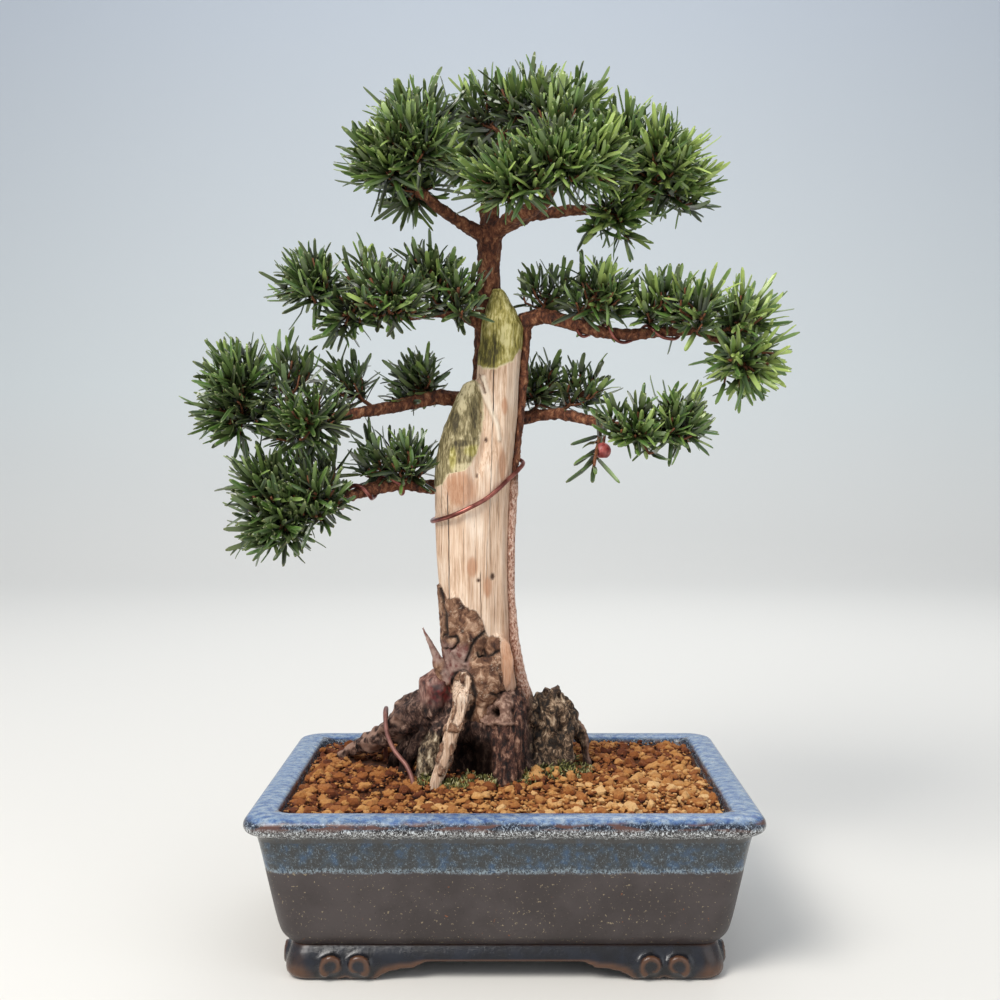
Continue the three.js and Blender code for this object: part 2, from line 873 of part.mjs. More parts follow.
// A needle's two shoulders and tip over its root. Its apex corner runs to the tip as a ridge.
function needleOver(shoot, { root, height, last }, attempt, fat = 0) {
  const [p, q, apex] = root;
  const middle = p.clone().add(q).add(apex).divideScalar(3);
  const across = q.clone().sub(p).normalize();
  const out = across.clone().cross(apex.clone().sub(p)).normalize();
  const seed = middle.x * 3.1 + middle.y * 1.7 + middle.z + attempt * 9.7;
  const open = last ? 0 : lerp(1.36, 0.66, height) + (draw(seed, 1) - 0.5) * 0.36;
  const way = shoot.along
    .clone()
    .multiplyScalar(Math.cos(open))
    .addScaledVector(out, last ? 1 : Math.sin(open))
    .addScaledVector(across, (draw(seed, 2) - 0.5) * 0.3)
    .normalize();
  const length = lerp(NEEDLE_SHORT, NEEDLE_LONG, draw(seed, 3)) * (last ? 0.8 : 1);
  const rise = shoot.along.clone().addScaledVector(way, -shoot.along.dot(way));
  const ridge = apex.clone().sub(middle);
  ridge.addScaledVector(way, -ridge.dot(way)).normalize();
  const half = NEEDLE_WIDTH / 2 + fat;
  const shoulder = middle
    .clone()
    .addScaledVector(way, length * SHOULDER)
    .addScaledVector(rise, length * 0.03)
    .addScaledVector(ridge, -NEEDLE_THICKNESS / 3 - fat);
  const tip = middle
    .clone()
    .addScaledVector(way, length + fat)
    .addScaledVector(rise, length * 0.06);
  return [
    shoulder.clone().addScaledVector(across, -half),
    shoulder.clone().addScaledVector(across, half),
    tip,
  ];
}

// The seven faces of a needle over the corners p, q and apex of its root.
function needleFaces([p, q, apex], [left, right, tip]) {
  return [
    [p, q, right],
    [p, right, left],
    [left, right, tip],
    [q, apex, right],
    [apex, tip, right],
    [apex, p, left],
    [apex, left, tip],
  ];
}

// A needle closed over its root.
function needleSolid(root, needle) {
  const faces = [[2, 1, 0], ...needleFaces([0, 1, 2], [3, 4, 5])];
  return solid(trianglesToGeometry([...root, ...needle], faces));
}

// The twig and the shoot as one closed skin, with a needle raised from each face that has one.
function shootSolid(shoot) {
  const points = [];
  const faces = [];
  const put = (p) => points.push(p) - 1;
  const rings = [...twigRings(shoot), coreRings(shoot)[0]];
  faces.push(rings[0].map(put).reverse());
  for (let r = 0; r + 1 < rings.length; r++) {
    const low = rings[r].map(put);
    const high = rings[r + 1].map(put);
    for (let i = 0; i < 3; i++) {
      const next = (i + 1) % 3;
      faces.push([low[i], low[next], high[next]], [low[i], high[next], high[i]]);
    }
  }
  shoot.faces.forEach(({ root, needle }) => {
    const at = root.map(put);
    if (needle) faces.push(...needleFaces(at, needle.map(put)));
    else faces.push(at);
  });
  return solid(trianglesToGeometry(points, faces));
}

const twigSolid = (shoot, extra) => loft([...twigRings(shoot, extra), coreRings(shoot, extra)[0]]);

function shootAt(from, bend, at, along, gaps, turn) {
  const way = along.clone().normalize();
  const guide = Math.abs(way.z) > 0.9 ? V(1, 0, 0) : UP;
  const side = guide.clone().addScaledVector(way, -guide.dot(way)).normalize();
  return { from, bend, at, along: way, side, lift: way.clone().cross(side), gaps, turn };
}

// The shoots of one spray, each with its twig, from the branch to the spray's head.
function shootsOf(branch, head, index, shift) {
  const line = smoothLine(BRANCHES[branch].points);
  const goal = V(...head.slice(0, 3));
  const places = line.getSpacedPoints(80);
  const nearest = places.reduce(
    (best, p, i) => (p.distanceTo(goal) < places[best].distanceTo(goal) ? i : best),
    0,
  );
  const back = Math.round(places[nearest].distanceTo(goal) * 0.3);
  const rooted = places[THREE.MathUtils.clamp(nearest - back + shift, 8, 78)];
  const rise = goal.clone().sub(rooted);
  const reach = rise.length();
  const bend = rooted.clone().addScaledVector(rise, 0.5).addScaledVector(UP, -0.1 * reach);
  const lift = goal.z > rooted.z - 4 ? 0.45 : -0.1;
  const along = rise.clone().normalize().addScaledVector(UP, lift).normalize();
  const top = goal.clone().addScaledVector(along, -CORE_STEP);
  const seed = index * 7 + branch.length;
  const turn = draw(seed, 6) * TURN;
  if (head[3] === 1) return [shootAt(rooted, bend, top, along, 3, turn)];

  // Two shoots stand side by side: the second twig forks from the first.
  const apart = along.clone().cross(UP);
  if (apart.length() < 0.5) apart.set(1, 0, 0);
  apart.normalize().multiplyScalar(draw(seed, 5) < 0.5 ? -1 : 1);
  const first = shootAt(rooted, bend, top, along.clone().addScaledVector(apart, -0.35), 2, turn);
  const fork = new THREE.QuadraticBezierCurve3(rooted, bend, top).getPoint(0.5);
  const second = top.clone().addScaledVector(along, -6).addScaledVector(apart, 10);
  const middle = fork.clone().lerp(second, 0.6).addScaledVector(along, -0.12 * reach);
  const away = along.clone().addScaledVector(apart, 0.8);
  return [first, shootAt(fork, middle, second, away, 2, turn + 1)];
}

// Solids that a trial piece could meet. Needles of one shoot may share corners but not space.
class Crowd {
  constructor() {
    this.members = [];
  }

  add(made, shoot = null, bare = made) {
    this.members.push({ made, shoot, bare, box: made.boundingBox() });
  }

  meets(made, shoot, bare) {
    const box = made.boundingBox();
    return this.members.some((other) => {
      for (let k = 0; k < 3; k++) {
        if (box.min[k] > other.box.max[k] || other.box.min[k] > box.max[k]) return false;
      }
      if (shoot && other.shoot === shoot) return bare.intersect(other.bare).volume() > 1e-4;
      return made.intersect(other.made).volume() > 1e-4;
    });
  }
}

const TWIG_SHIFTS = [0, 2, -2, 4, -4, 6, -6, 9, -9];

// A spray with its twigs rooted where they clear the wires and the other twigs.
function sprayOn(branch, head, index, crowd) {
  const choices = TWIG_SHIFTS.map((shift) => shootsOf(branch, head, index, shift));
  const roomOf = (shoot) => twigSolid(shoot, 2 * GAP);
  const isClear = (shoots) => shoots.every((shoot) => !crowd.meets(roomOf(shoot)));
  const shoots = choices.find(isClear) ?? choices[0];
  shoots.forEach((shoot) => crowd.add(roomOf(shoot), shoot, twigSolid(shoot, 0)));
  return { name: `${branch}_spray_${index}`, shoots };
}

const NEEDLE_TRIES = 6;

function growNeedles(shoot, crowd) {
  shoot.faces = coreFaces(shoot);
  shoot.faces.forEach((face) => {
    for (let k = 0; k < NEEDLE_TRIES && !face.needle; k++) {
      const needle = needleOver(shoot, face, k);
      const bare = needleSolid(face.root, needle);
      const fat = needleSolid(face.root, needleOver(shoot, face, k, GAP));
      if (crowd.meets(fat, shoot, bare)) continue;
      face.needle = needle;
      crowd.add(fat, shoot, bare);
    }
  });
}

function makeSprays(obstacles, woodRoom) {
  const crowd = new Crowd();
  obstacles.forEach((one) => crowd.add(one));
  const sprays = Object.entries(BRANCHES).flatMap(([branch, { heads }]) =>
    heads.map((head, k) => sprayOn(branch, head, k + 1, crowd)),
  );
  crowd.add(woodRoom);
  sprays.flatMap((spray) => spray.shoots).forEach((shoot) => growNeedles(shoot, crowd));
  return sprays.map(({ name, shoots }) => {
    const grown = join(shoots.map(shootSolid)).subtract(woodRoom);
    return [name, mainBody(grown)];
  });
}

// Berry: one ripening aril on a short stalk under the lower right branch

const BERRY_PLACE = V(50.5, -8, 247);
const BERRY_RADIUS = 3.6;
const BERRY_STALK = {
  points: [[53, -1, 260], [51.5, -6, 254], [50.6, -8, 248]],
  radii: [0.9, 0.8, 0.9],
  sides: 4,
  steps: 3,
  seed: 70,
};

function makeBerry(woodRoom) {
  const ball = new THREE.SphereGeometry(BERRY_RADIUS, 9, 6).rotateX(Math.PI / 2);
  const { x, y, z } = BERRY_PLACE;
  const grown = solid(ball.translate(x, y, z)).add(limb(BERRY_STALK));
  return mainBody(grown.subtract(woodRoom));
}

// Soil: granules raised from its surface, with holes where roots and wire stand

function soilHeight(x, y, i, j) {
  const mound = 4.2 * Math.exp(-((x + 4) ** 2 / 3200 + (y - 10) ** 2 / 1800));
  const grain = (draw(i * 1.3, j * 2.1) - 0.5) * 4.2;
  return SOIL_LEVEL + mound + grain;
}

function soilTop() {
  const across = Math.ceil(POT_LENGTH / GRANULE);
  const deep = Math.ceil(POT_WIDTH / GRANULE);
  const points = [];
  const faces = [];
  const place = (i, j) => {
    const x = (i - across / 2 + (draw(i, j + 40) - 0.5) * 0.7) * GRANULE;
    const y = (j - deep / 2 + (draw(i + 40, j) - 0.5) * 0.7) * GRANULE;
    return V(x, y, soilHeight(x, y, i, j));
  };
  for (let j = 0; j <= deep; j++) for (let i = 0; i <= across; i++) points.push(place(i, j));
  const row = across + 1;
  const rim = [];
  for (let i = 0; i < across; i++) rim.push(i);
  for (let j = 0; j < deep; j++) rim.push(j * row + across);
  for (let i = across; i > 0; i--) rim.push(deep * row + i);
  for (let j = deep; j > 0; j--) rim.push(j * row);
  for (let j = 0; j < deep; j++) {
    for (let i = 0; i < across; i++) {
      const a = j * row + i;
      if ((i + j) % 2) faces.push([a, a + 1, a + row + 1], [a, a + row + 1, a + row]);
      else faces.push([a, a + 1, a + row], [a + 1, a + row + 1, a + row]);
    }
  }
  const below = rim.map((k) => points.push(V(points[k].x, points[k].y, 0)) - 1);
  const centre = points.push(V(0, 0, 0)) - 1;
  rim.forEach((k, n) => {
    const next = (n + 1) % rim.length;
    faces.push([below[n], below[next], rim[next]], [below[n], rim[next], k]);
    faces.push([centre, below[next], below[n]]);
  });
  return solid(trianglesToGeometry(points, faces));
}

function makeSoil(holes) {
  const room = [...INNER_WALL].reverse().map(([z, inset]) => [z, inset + 1.4 * GAP]);
  room[0][0] += GAP;
  const fill = skinOf(room);
  return mainBody(fill.intersect(soilTop()).subtract(join(holes)));
}

// Assembly

const COLOURS = {
  pot: [0x3d4656, 0.35],
  soil: [0x9a5a2a, 0.95],
  dead_trunk: [0xd9b591, 0.8],
  living_wood: [0x6b4032, 0.85],
  wire: [0x6e3f3a, 0.4],
  screen: [0x1c1c1c, 0.6],
  berry: [0x8c3038, 0.5],
  spray: [0x2f5a24, 0.5],
};

function meshOf(name, made, look) {
  const [color, roughness] = COLOURS[look];
  const material = new THREE.MeshStandardMaterial({ color, roughness });
  material.metalness = look === "wire" ? 0.7 : 0;
  const mesh = new THREE.Mesh(geometryOf(made), material);
  mesh.name = name;
  return mesh;
}

const dead = deadTrunk();
const deadRoom = deadTrunk(GAP);
const living = mainBody(livingWood().subtract(deadRoom));
const livingRoom = livingWood(GAP);
const woodMesh = new THREE.Mesh(geometryOf(dead.add(living)));
woodMesh.updateMatrixWorld();
const wires = makeWires(woodMesh);
const berry = makeBerry(livingRoom);
const screens = [-1, 1].map((hand) => (hand * DRAIN_SPACING) / 2);
const sprays = makeSprays([deadRoom, ...Object.values(wires), berry], livingRoom);
const anchorRoom = wire(ANCHOR_POINTS, TRUNK_WIRE + 1.5 * GAP, 16);
const soil = makeSoil([livingRoom, deadRoom, anchorRoom, ...screens.map(screenRoom)]);

const tree = new THREE.Group();
tree.add(meshOf("pot", makePot(), "pot"));
tree.add(meshOf("soil", soil, "soil"));
tree.add(meshOf("dead_trunk", dead, "dead_trunk"));
tree.add(meshOf("living_wood", living, "living_wood"));
Object.entries(wires).forEach(([name, made]) => tree.add(meshOf(name, made, "wire")));
screens.forEach((x, k) => tree.add(meshOf(`drain_screen_${k + 1}`, makeScreen(x), "screen")));
tree.add(meshOf("berry", berry, "berry"));
sprays.forEach(([name, made]) => tree.add(meshOf(name, made, "spray")));

// The whole stands with the middle of its outline, seen from above, on the Z axis.
const outline = new THREE.Box3().setFromObject(tree);
tree.position.set(-(outline.min.x + outline.max.x) / 2, -(outline.min.y + outline.max.y) / 2, 0);

const part = new THREE.Group();
part.add(tree);

export default part;
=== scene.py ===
"""Looks of the Japanese yew bonsai: weathered dead wood with old bark, scaly living wood, needles,
training wires, a berry, granular soil with moss, drain screens and the glazed pot.

Lengths are in millimetres in the tree's own frame, where the pot's middle is at X = Y = 0, and
become metres when a mesh is made. +Z up, X to the viewer's right, Y away from the viewer.
"""

import math
from functools import reduce
from itertools import product
from types import SimpleNamespace

import bmesh
import bpy
import numpy as np
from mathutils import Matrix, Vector
from mathutils.bvhtree import BVHTree


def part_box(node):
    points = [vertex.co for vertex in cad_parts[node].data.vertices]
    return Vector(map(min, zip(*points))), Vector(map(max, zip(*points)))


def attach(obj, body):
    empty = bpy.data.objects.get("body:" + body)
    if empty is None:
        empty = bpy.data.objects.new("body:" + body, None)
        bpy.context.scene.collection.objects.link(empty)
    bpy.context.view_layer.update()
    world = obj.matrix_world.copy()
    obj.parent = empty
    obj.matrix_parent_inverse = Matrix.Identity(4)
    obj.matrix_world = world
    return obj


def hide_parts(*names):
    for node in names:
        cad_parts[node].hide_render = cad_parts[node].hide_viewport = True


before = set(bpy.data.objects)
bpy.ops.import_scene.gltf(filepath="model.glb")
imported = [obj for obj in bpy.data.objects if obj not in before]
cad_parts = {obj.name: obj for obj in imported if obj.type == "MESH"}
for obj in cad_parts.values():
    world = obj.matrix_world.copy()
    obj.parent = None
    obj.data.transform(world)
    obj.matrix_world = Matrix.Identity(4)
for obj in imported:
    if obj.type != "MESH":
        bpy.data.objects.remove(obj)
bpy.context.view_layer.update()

# Sizes, in millimetres
GAP = 0.3  # between parts that lie on each other
POT_LENGTH = 242
POT_WIDTH = 180
POT_HEIGHT = 80
RIM_CORNER = 12
FLOOR_TOP = 24
FLOOR_BOTTOM = 15.5
FOOT_REACH = 60  # from the rim's end to the inner end of a foot
NOTCH_REACH = 46.5  # from the rim's end to the notch of a foot
DRAIN_RADIUS = 9
DRAIN_SPACING = 110
SCREEN_SIDE = 30
TRUNK_WIRE = 1.15  # radius of the three thicker wires
BRANCH_WIRE = 0.9  # radius of the thin one
BERRY_RADIUS = 4.3
NEEDLE_SHORT = 14.5
NEEDLE_LONG = 25.5
NEEDLE_WIDTH = 2.45
NEEDLE_RIB = 0.27  # how far a needle's rib stands out, as a share of its width
TWIG_RADIUS = 1.15
CORE_STEP = 3  # one step of a shoot's leafy stem

# Places, in millimetres
CAMERA_PLACE = [2, -665, 250]
BERRY_PLACE = np.array([50.5, -8, 247])

TURN = 2 * math.pi
UP = np.array([0.0, 0.0, 1.0])
DOWN = Vector((0, 0, -1))
METRE = 1000.0

# The branches: the points of each one's middle line, and the heads of its sprays as [x, y, z, shoots]
BRANCHES = {
    "crown_left": {
        "points": [[-9, 8, 360], [-20, 4, 365], [-31, -4, 371], [-41, -10, 378], [-53, -14, 391]],
        "heads": [[-68, -26, 396, 2], [-50, -42, 406, 2], [-41, -12, 425, 2], [-50, 2, 384, 1]],
    },
    "crown_front": {
        "points": [[-7, 8, 361], [5, -4, 369], [17, -16, 372], [24, -26, 379], [23, -34, 392]],
        "heads": [[22, -58, 388, 2], [-10, -46, 379, 2], [48, -48, 394, 2], [27, -30, 420, 1]],
    },
    "crown_right": {
        "points": [[-4, 8, 364], [18, 10, 373], [45, 8, 375], [67, 4, 376], [86, 0, 386]],
        "heads": [
            [62, -12, 414, 2], [78, -26, 402, 2], [94, -6, 382, 1], [82, 20, 394, 1], [58, -12, 367, 1],
        ],
    },
    "crown_back": {
        "points": [[-9, 10, 361], [-10, 26, 381], [-2, 42, 404], [10, 50, 414]],
        "heads": [[-24, 52, 418, 2], [16, 61, 424, 2], [46, 44, 418, 1]],
    },
    "crown_top": {
        "points": [[-8, 8, 362], [-5, 6, 385], [-3, 4, 405], [0, 4, 418]],
        "heads": [[-16, 16, 432, 1], [13, -2, 434, 2], [44, 10, 432, 2]],
    },
    "upper_left": {
        "points": [
            [-10, 14, 314], [-27, 6, 320], [-42, -2, 319], [-58, -10, 316], [-76, -18, 320], [-93, -22, 328],
        ],
        "heads": [
            [-103, -24, 335, 2], [-80, -36, 314, 1], [-58, -42, 328, 2],
            [-74, 2, 343, 1], [-44, -8, 344, 2], [-24, -20, 326, 1],
        ],
    },
    "middle_left": {
        "points": [
            [-14, 20, 274], [-40, 12, 275], [-58, 4, 270], [-76, -4, 267],
            [-94, -10, 264], [-115, -14, 268], [-133, -16, 274],
        ],
        "heads": [
            [-142, -18, 289, 2], [-117, 2, 291, 1], [-88, 8, 286, 1],
            [-137, -32, 262, 2], [-98, -44, 262, 2], [-50, 26, 288, 2],
        ],
    },
    "lower_left": {
        "points": [
            [-22, 18, 230], [-43, 10, 227], [-55, 2, 230], [-70, -6, 227],
            [-85, -14, 222], [-98, -20, 215], [-112, -24, 212],
        ],
        "heads": [
            [-128, -24, 238, 2], [-104, -4, 240, 1], [-122, -34, 208, 2],
            [-94, -42, 226, 2], [-70, 4, 245, 1], [-50, -6, 244, 1],
        ],
    },
    "upper_right": {
        "points": [
            [8, 8, 315], [21, 1, 318], [39, -6, 312], [55, -9, 307],
            [74, -12, 307], [94, -16, 309], [109, -20, 303], [119, -23, 297],
        ],
        "heads": [
            [24, 14, 334, 1], [50, -26, 332, 2], [54, 18, 328, 1], [78, -16, 328, 2],
            [100, -36, 320, 1], [126, -22, 319, 2], [122, -30, 286, 2],
        ],
    },
    "lower_right": {
        "points": [
            [-6, 19, 261], [6, 23, 263], [20, 22, 267], [35, 15, 266],
            [50, 1, 261], [65, -12, 260], [82, -18, 259],
        ],
        "heads": [
            [25, 34, 288, 2], [46, 24, 283, 1], [46, -16, 243, 1], [68, -32, 256, 2], [94, -14, 262, 2],
        ],
    },
}

POT_LOW, POT_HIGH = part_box("pot")
# Where the tree's own frame has its middle, in the scene
MIDDLE = (np.array(POT_LOW) + np.array(POT_HIGH)) / 2 * METRE * [1, 1, 0]


def to_metres(points):
    """Points of the tree, in millimetres, as places in the scene."""
    return (np.asarray(points, float) + MIDDLE) / METRE


def to_tree(places):
    """Places in the scene as points of the tree, in millimetres."""
    return np.asarray(places, float) * METRE - MIDDLE


def unit(vectors):
    """The vectors, each made 1 long."""
    lengths = np.linalg.norm(vectors, axis=-1, keepdims=True)
    return vectors / np.maximum(lengths, 1e-9)


def draw(a, b=0):
    """A repeatable number between 0 and 1 for any two numbers."""
    s = np.sin(np.asarray(a) * 12.9898 + np.asarray(b) * 78.233 + 4.17) * 43758.5453
    return s - np.floor(s)


# Noise on points


def hashed(cells, seed):
    """A repeatable number between 0 and 1 for each whole-numbered cell."""
    x, y, z = np.moveaxis(cells, -1, 0)
    mixed = (x * 374761393 + y * 668265263 + z * 2246822519 + seed * 974634777) & 0xFFFFFFFF
    mixed = ((mixed ^ (mixed >> 13)) * 1274126177) & 0xFFFFFFFF
    return ((mixed ^ (mixed >> 16)) & 0xFFFFFF) / 0xFFFFFF


def noise(points, size, seed=0):
    """Smooth noise from -1 to 1 with features of that size, one number or one for each axis."""
    at = np.asarray(points, float) / np.asarray(size, float)
    cell = np.floor(at).astype(np.int64)
    part = at - cell
    part = part * part * (3 - 2 * part)
    total = 0
    for corner in np.ndindex(2, 2, 2):
        share = np.prod(np.where(corner, part, 1 - part), axis=-1)
        total = total + share * hashed(cell + np.array(corner), seed)
    return total * 2 - 1


def from_path(points, path):
    """How far each point is from a path of straight stretches."""
    path = np.array(path, float)
    nearest = np.full(len(points), 99.0)
    for start, end in zip(path, path[1:]):
        way = end - start
        share = np.clip((points - start) @ way / way.dot(way), 0, 1)
        away = np.linalg.norm(points - start - share[:, None] * way, axis=1)
        nearest = np.minimum(nearest, away)
    return nearest


def ease(value, low, high):
    """From 0 at low to 1 at high, eased at both ends."""
    t = np.clip((value - low) / (high - low), 0, 1)
    return t * t * (3 - 2 * t)


def on_path(points, path, outer, inner):
    """1 within the inner distance of a path, 0 beyond the outer one."""
    return ease(from_path(points, path), outer, inner)


# Lines


def smooth_line(points):
    """The centripetal spline through the points, as a function of the share along it."""
    points = np.asarray(points, float)
    ends = [2 * points[0] - points[1], 2 * points[-1] - points[-2]]
    knots = np.concatenate([[ends[0]], points, [ends[1]]])

    def at(share):
        place = np.clip(share, 0, 1) * (len(points) - 1)
        k = min(int(place), len(points) - 2)
        t = place - k
        p = knots[k : k + 4]
        dt = np.maximum(np.linalg.norm(np.diff(p, axis=0), axis=1) ** 0.5, 1e-4)
        speeds = []
        for a in (0, 1):
            first = (p[a + 1] - p[a]) / dt[a]
            last = (p[a + 2] - p[a + 1]) / dt[a + 1]
            speeds.append((first - (p[a + 2] - p[a]) / (dt[a] + dt[a + 1]) + last) * dt[1])
        bend = -3 * p[1] + 3 * p[2] - 2 * speeds[0] - speeds[1]
        rest = 2 * p[1] - 2 * p[2] + speeds[0] + speeds[1]
        return p[1] + speeds[0] * t + bend * t * t + rest * t**3

    return at


def points_along(line, count):
    """That many points of a line, from its start to its end."""
    return np.array([line(k / (count - 1)) for k in range(count)])


def evenly(points, count):
    """That many points spaced evenly along a list of points."""
    lengths = np.concatenate([[0], np.cumsum(np.linalg.norm(np.diff(points, axis=0), axis=1))])
    goals = np.linspace(0, lengths[-1], count)
    return np.stack([np.interp(goals, lengths, points[:, k]) for k in range(3)], axis=1)


def frames_along(points):
    """The directions along, side and lift at each point of a line, turning as little as they can."""
    along = unit(np.gradient(points, axis=0))
    side = np.array([1.0, 0, 0]) if abs(along[0][2]) > 0.9 else UP
    sides = []
    for way in along:
        side = unit(side - way * side.dot(way))
        sides.append(side)
    sides = np.array(sides)
    return along, sides, np.cross(along, sides)


# Meshes


def grid_faces(rings, sides, first=0):
    """The quads of a skin over rings of equal length."""
    r, i = np.meshgrid(np.arange(rings - 1), np.arange(sides), indexing="ij")
    a = r * sides + i
    b = r * sides + (i + 1) % sides
    return np.stack([a, b, b + sides, a + sides], axis=-1).reshape(-1, 4) + first


def skin(rings):
    """A closed skin over rings of equal length: its points and its faces."""
    rings = np.asarray(rings, float)
    count, sides = rings.shape[:2]
    points = np.concatenate([rings.reshape(-1, 3), [rings[0].mean(0)], [rings[-1].mean(0)]])
    i = np.arange(sides)
    after = (i + 1) % sides
    low = np.stack([np.full(sides, count * sides), after, i], axis=1)
    top = (count - 1) * sides
    high = np.stack([np.full(sides, count * sides + 1), top + i, top + after], axis=1)
    return points, [grid_faces(count, sides), np.concatenate([low, high])]


def tube(points, radii, sides=10):
    """A round closed tube along a line of points."""
    _, side, lift = frames_along(points)
    angle = np.arange(sides) * TURN / sides
    circle = np.cos(angle)[:, None] * side[:, None] + np.sin(angle)[:, None] * lift[:, None]
    radii = np.broadcast_to(radii, len(points))
    return skin(points[:, None] + circle * radii[:, None, None])


def merged(parts):
    """Several (points, faces) as one."""
    points, faces, count = [], [], 0
    for some, blocks in parts:
        points.append(some)
        faces += [block + count for block in blocks]
        count += len(some)
    return np.concatenate(points), faces


def mesh_of(name, points, faces):
    """A mesh of points, in millimetres, and blocks of faces with as many corners each."""
    mesh = bpy.data.meshes.new(name)
    corners = np.concatenate([block.ravel() for block in faces])
    sizes = np.concatenate([np.full(len(block), block.shape[1]) for block in faces])
    mesh.vertices.add(len(points))
    mesh.vertices.foreach_set("co", to_metres(points).astype(np.float32).ravel())
    mesh.loops.add(len(corners))
    mesh.loops.foreach_set("vertex_index", corners.astype(np.int32))
    mesh.polygons.add(len(sizes))
    starts = np.concatenate([[0], np.cumsum(sizes)[:-1]])
    mesh.polygons.foreach_set("loop_start", starts.astype(np.int32))
    mesh.update(calc_edges=True)
    return mesh


def placed(name, data):
    """A new object of the scene."""
    made = bpy.data.objects.new(name, data)
    bpy.context.scene.collection.objects.link(made)
    return made


def object_of(name, points, faces):
    return placed(name, mesh_of(name, points, faces))


def piece(name, points, faces, look, slot, smooth=True, **attributes):
    """One finished piece of the tree, with its look and any attributes of its points."""
    made = object_of(name, points, faces)
    mesh = made.data
    mesh.polygons.foreach_set("use_smooth", np.full(len(mesh.polygons), smooth))
    for key, values in attributes.items():
        attribute = mesh.attributes.new(key, "FLOAT", "POINT")
        attribute.data.foreach_set("value", np.asarray(values, np.float32))
    mesh.materials.append(look)
    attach(made, "root")
    return made


def read(items, name, each=1, kind=np.int64):
    """One property of all items of a mesh, with that many numbers for each."""
    found = np.empty(len(items) * each, kind)
    items.foreach_get(name, found)
    return found


def arrays_of(mesh):
    """The points, in millimetres, and the faces of a mesh, triangles and quads apart."""
    places = read(mesh.vertices, "co", 3, float)
    sizes = read(mesh.polygons, "loop_total")
    starts = read(mesh.polygons, "loop_start")
    corners = read(mesh.loops, "vertex_index")
    faces = [
        corners[starts[sizes == size][:, None] + np.arange(size)]
        for size in (3, 4)
        if (sizes == size).any()
    ]
    return to_tree(places.reshape(-1, 3)), faces


def evaluated(made):
    """The points and faces of an object with its modifiers. The object is then removed."""
    view = bpy.context.evaluated_depsgraph_get()
    mesh = bpy.data.meshes.new_from_object(made.evaluated_get(view))
    found = arrays_of(mesh)
    bpy.data.objects.remove(made)
    return found


def even_skin(made, voxel):
    """The object's outer surface in even small faces."""
    even = made.modifiers.new("Even", "REMESH")
    even.mode = "VOXEL"
    even.voxel_size = voxel / METRE
    return evaluated(made)


def copy_of_node(name):
    """A copy of a node's mesh as an object to work on."""
    made = placed(name + "_draft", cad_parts[name].data.copy())
    made.data.materials.clear()
    return made


def edges_of(faces):
    """The two ends of each edge, once for each face that has it."""
    return np.concatenate(
        [np.stack([block, np.roll(block, -1, axis=1)], axis=-1).reshape(-1, 2) for block in faces]
    )


def smoothed(values, edges, rounds, share=0.5):
    """Values at points, each drawn towards its neighbours' mean."""
    values = np.array(values, float)
    flat = values.reshape(len(values), -1)
    count = np.bincount(edges[:, 0], minlength=len(flat)) + 1e-9
    for _ in range(rounds):
        for k in range(flat.shape[1]):
            near = np.bincount(edges[:, 0], flat[edges[:, 1], k], minlength=len(flat)) / count
            flat[:, k] += share * (near - flat[:, k])
    return flat.reshape(values.shape)


def relaxed(points, edges, rounds):
    """The points smoothed without shrinking: each round draws them in, then lets them out."""
    for _ in range(rounds):
        points = smoothed(points, edges, 1, 0.6)
        points = smoothed(points, edges, 1, -0.62)
    return points


def normals_of(points, faces):
    """The direction out of the surface at each point."""
    normals = np.zeros_like(points)
    for block in faces:
        a, b, c = (points[block[:, k]] for k in (0, 1, 2))
        flat = np.cross(b - a, c - a)
        for k in range(block.shape[1]):
            for axis in range(3):
                normals[:, axis] += np.bincount(block[:, k], flat[:, axis], minlength=len(points))
    return unit(normals)


def standing_out(points, edges, normals, rounds=6):
    """How far each point stands out of its surroundings, in millimetres."""
    return np.einsum("ij,ij->i", points - smoothed(points, edges, rounds), normals)


# Looks


def colour(code):
    """The shader colour of a code such as "#a0b1c2"."""
    parts = [int(code[k : k + 2], 16) / 255 for k in (1, 3, 5)]
    return [p / 12.92 if p <= 0.04045 else ((p + 0.055) / 1.055) ** 2.4 for p in parts] + [1]


class Value:
    """A number or a colour in a look's node tree. What is worked out from it becomes nodes."""

    def __init__(self, look, socket):
        self.look = look
        self.socket = socket

    def __mul__(self, other):
        return self.look.calc("MULTIPLY", self, other)

    def __add__(self, other):
        return self.look.calc("ADD", self, other)

    def __sub__(self, other):
        return self.look.calc("SUBTRACT", self, other)

    def __abs__(self):
        return self.look.calc("ABSOLUTE", self)

    def at_least(self, other):
        """The larger of the two."""
        return self.look.calc("MAXIMUM", self, other)

    def between(self, low, high):
        """From 0 where the value is low to 1 where it is high."""
        inputs = {"Value": self, "From Min": low, "From Max": high}
        return self.look.node("ShaderNodeMapRange", inputs, "Result", interpolation_type="SMOOTHSTEP")

    def ramp(self, *stops):
        """Colours at places along the value, as (place, code)."""
        made = self.look.tree.nodes.new("ShaderNodeValToRGB")
        self.look.feed(made.inputs["Fac"], self)
        steps = made.color_ramp.elements
        while len(steps) < len(stops):
            steps.new(0.5)
        for step, (place, _) in zip(steps, stops):
            step.position = place
        for step, (place, code) in zip(steps, stops):
            step.position = place
            step.color = colour(code)
        return Value(self.look, made.outputs["Color"])

    def covered(self, cover, share):
        """This colour, with the cover over it where the share is 1."""
        return self.look.node("ShaderNodeMix", {0: share, 6: self, 7: cover}, 2, data_type="RGBA")


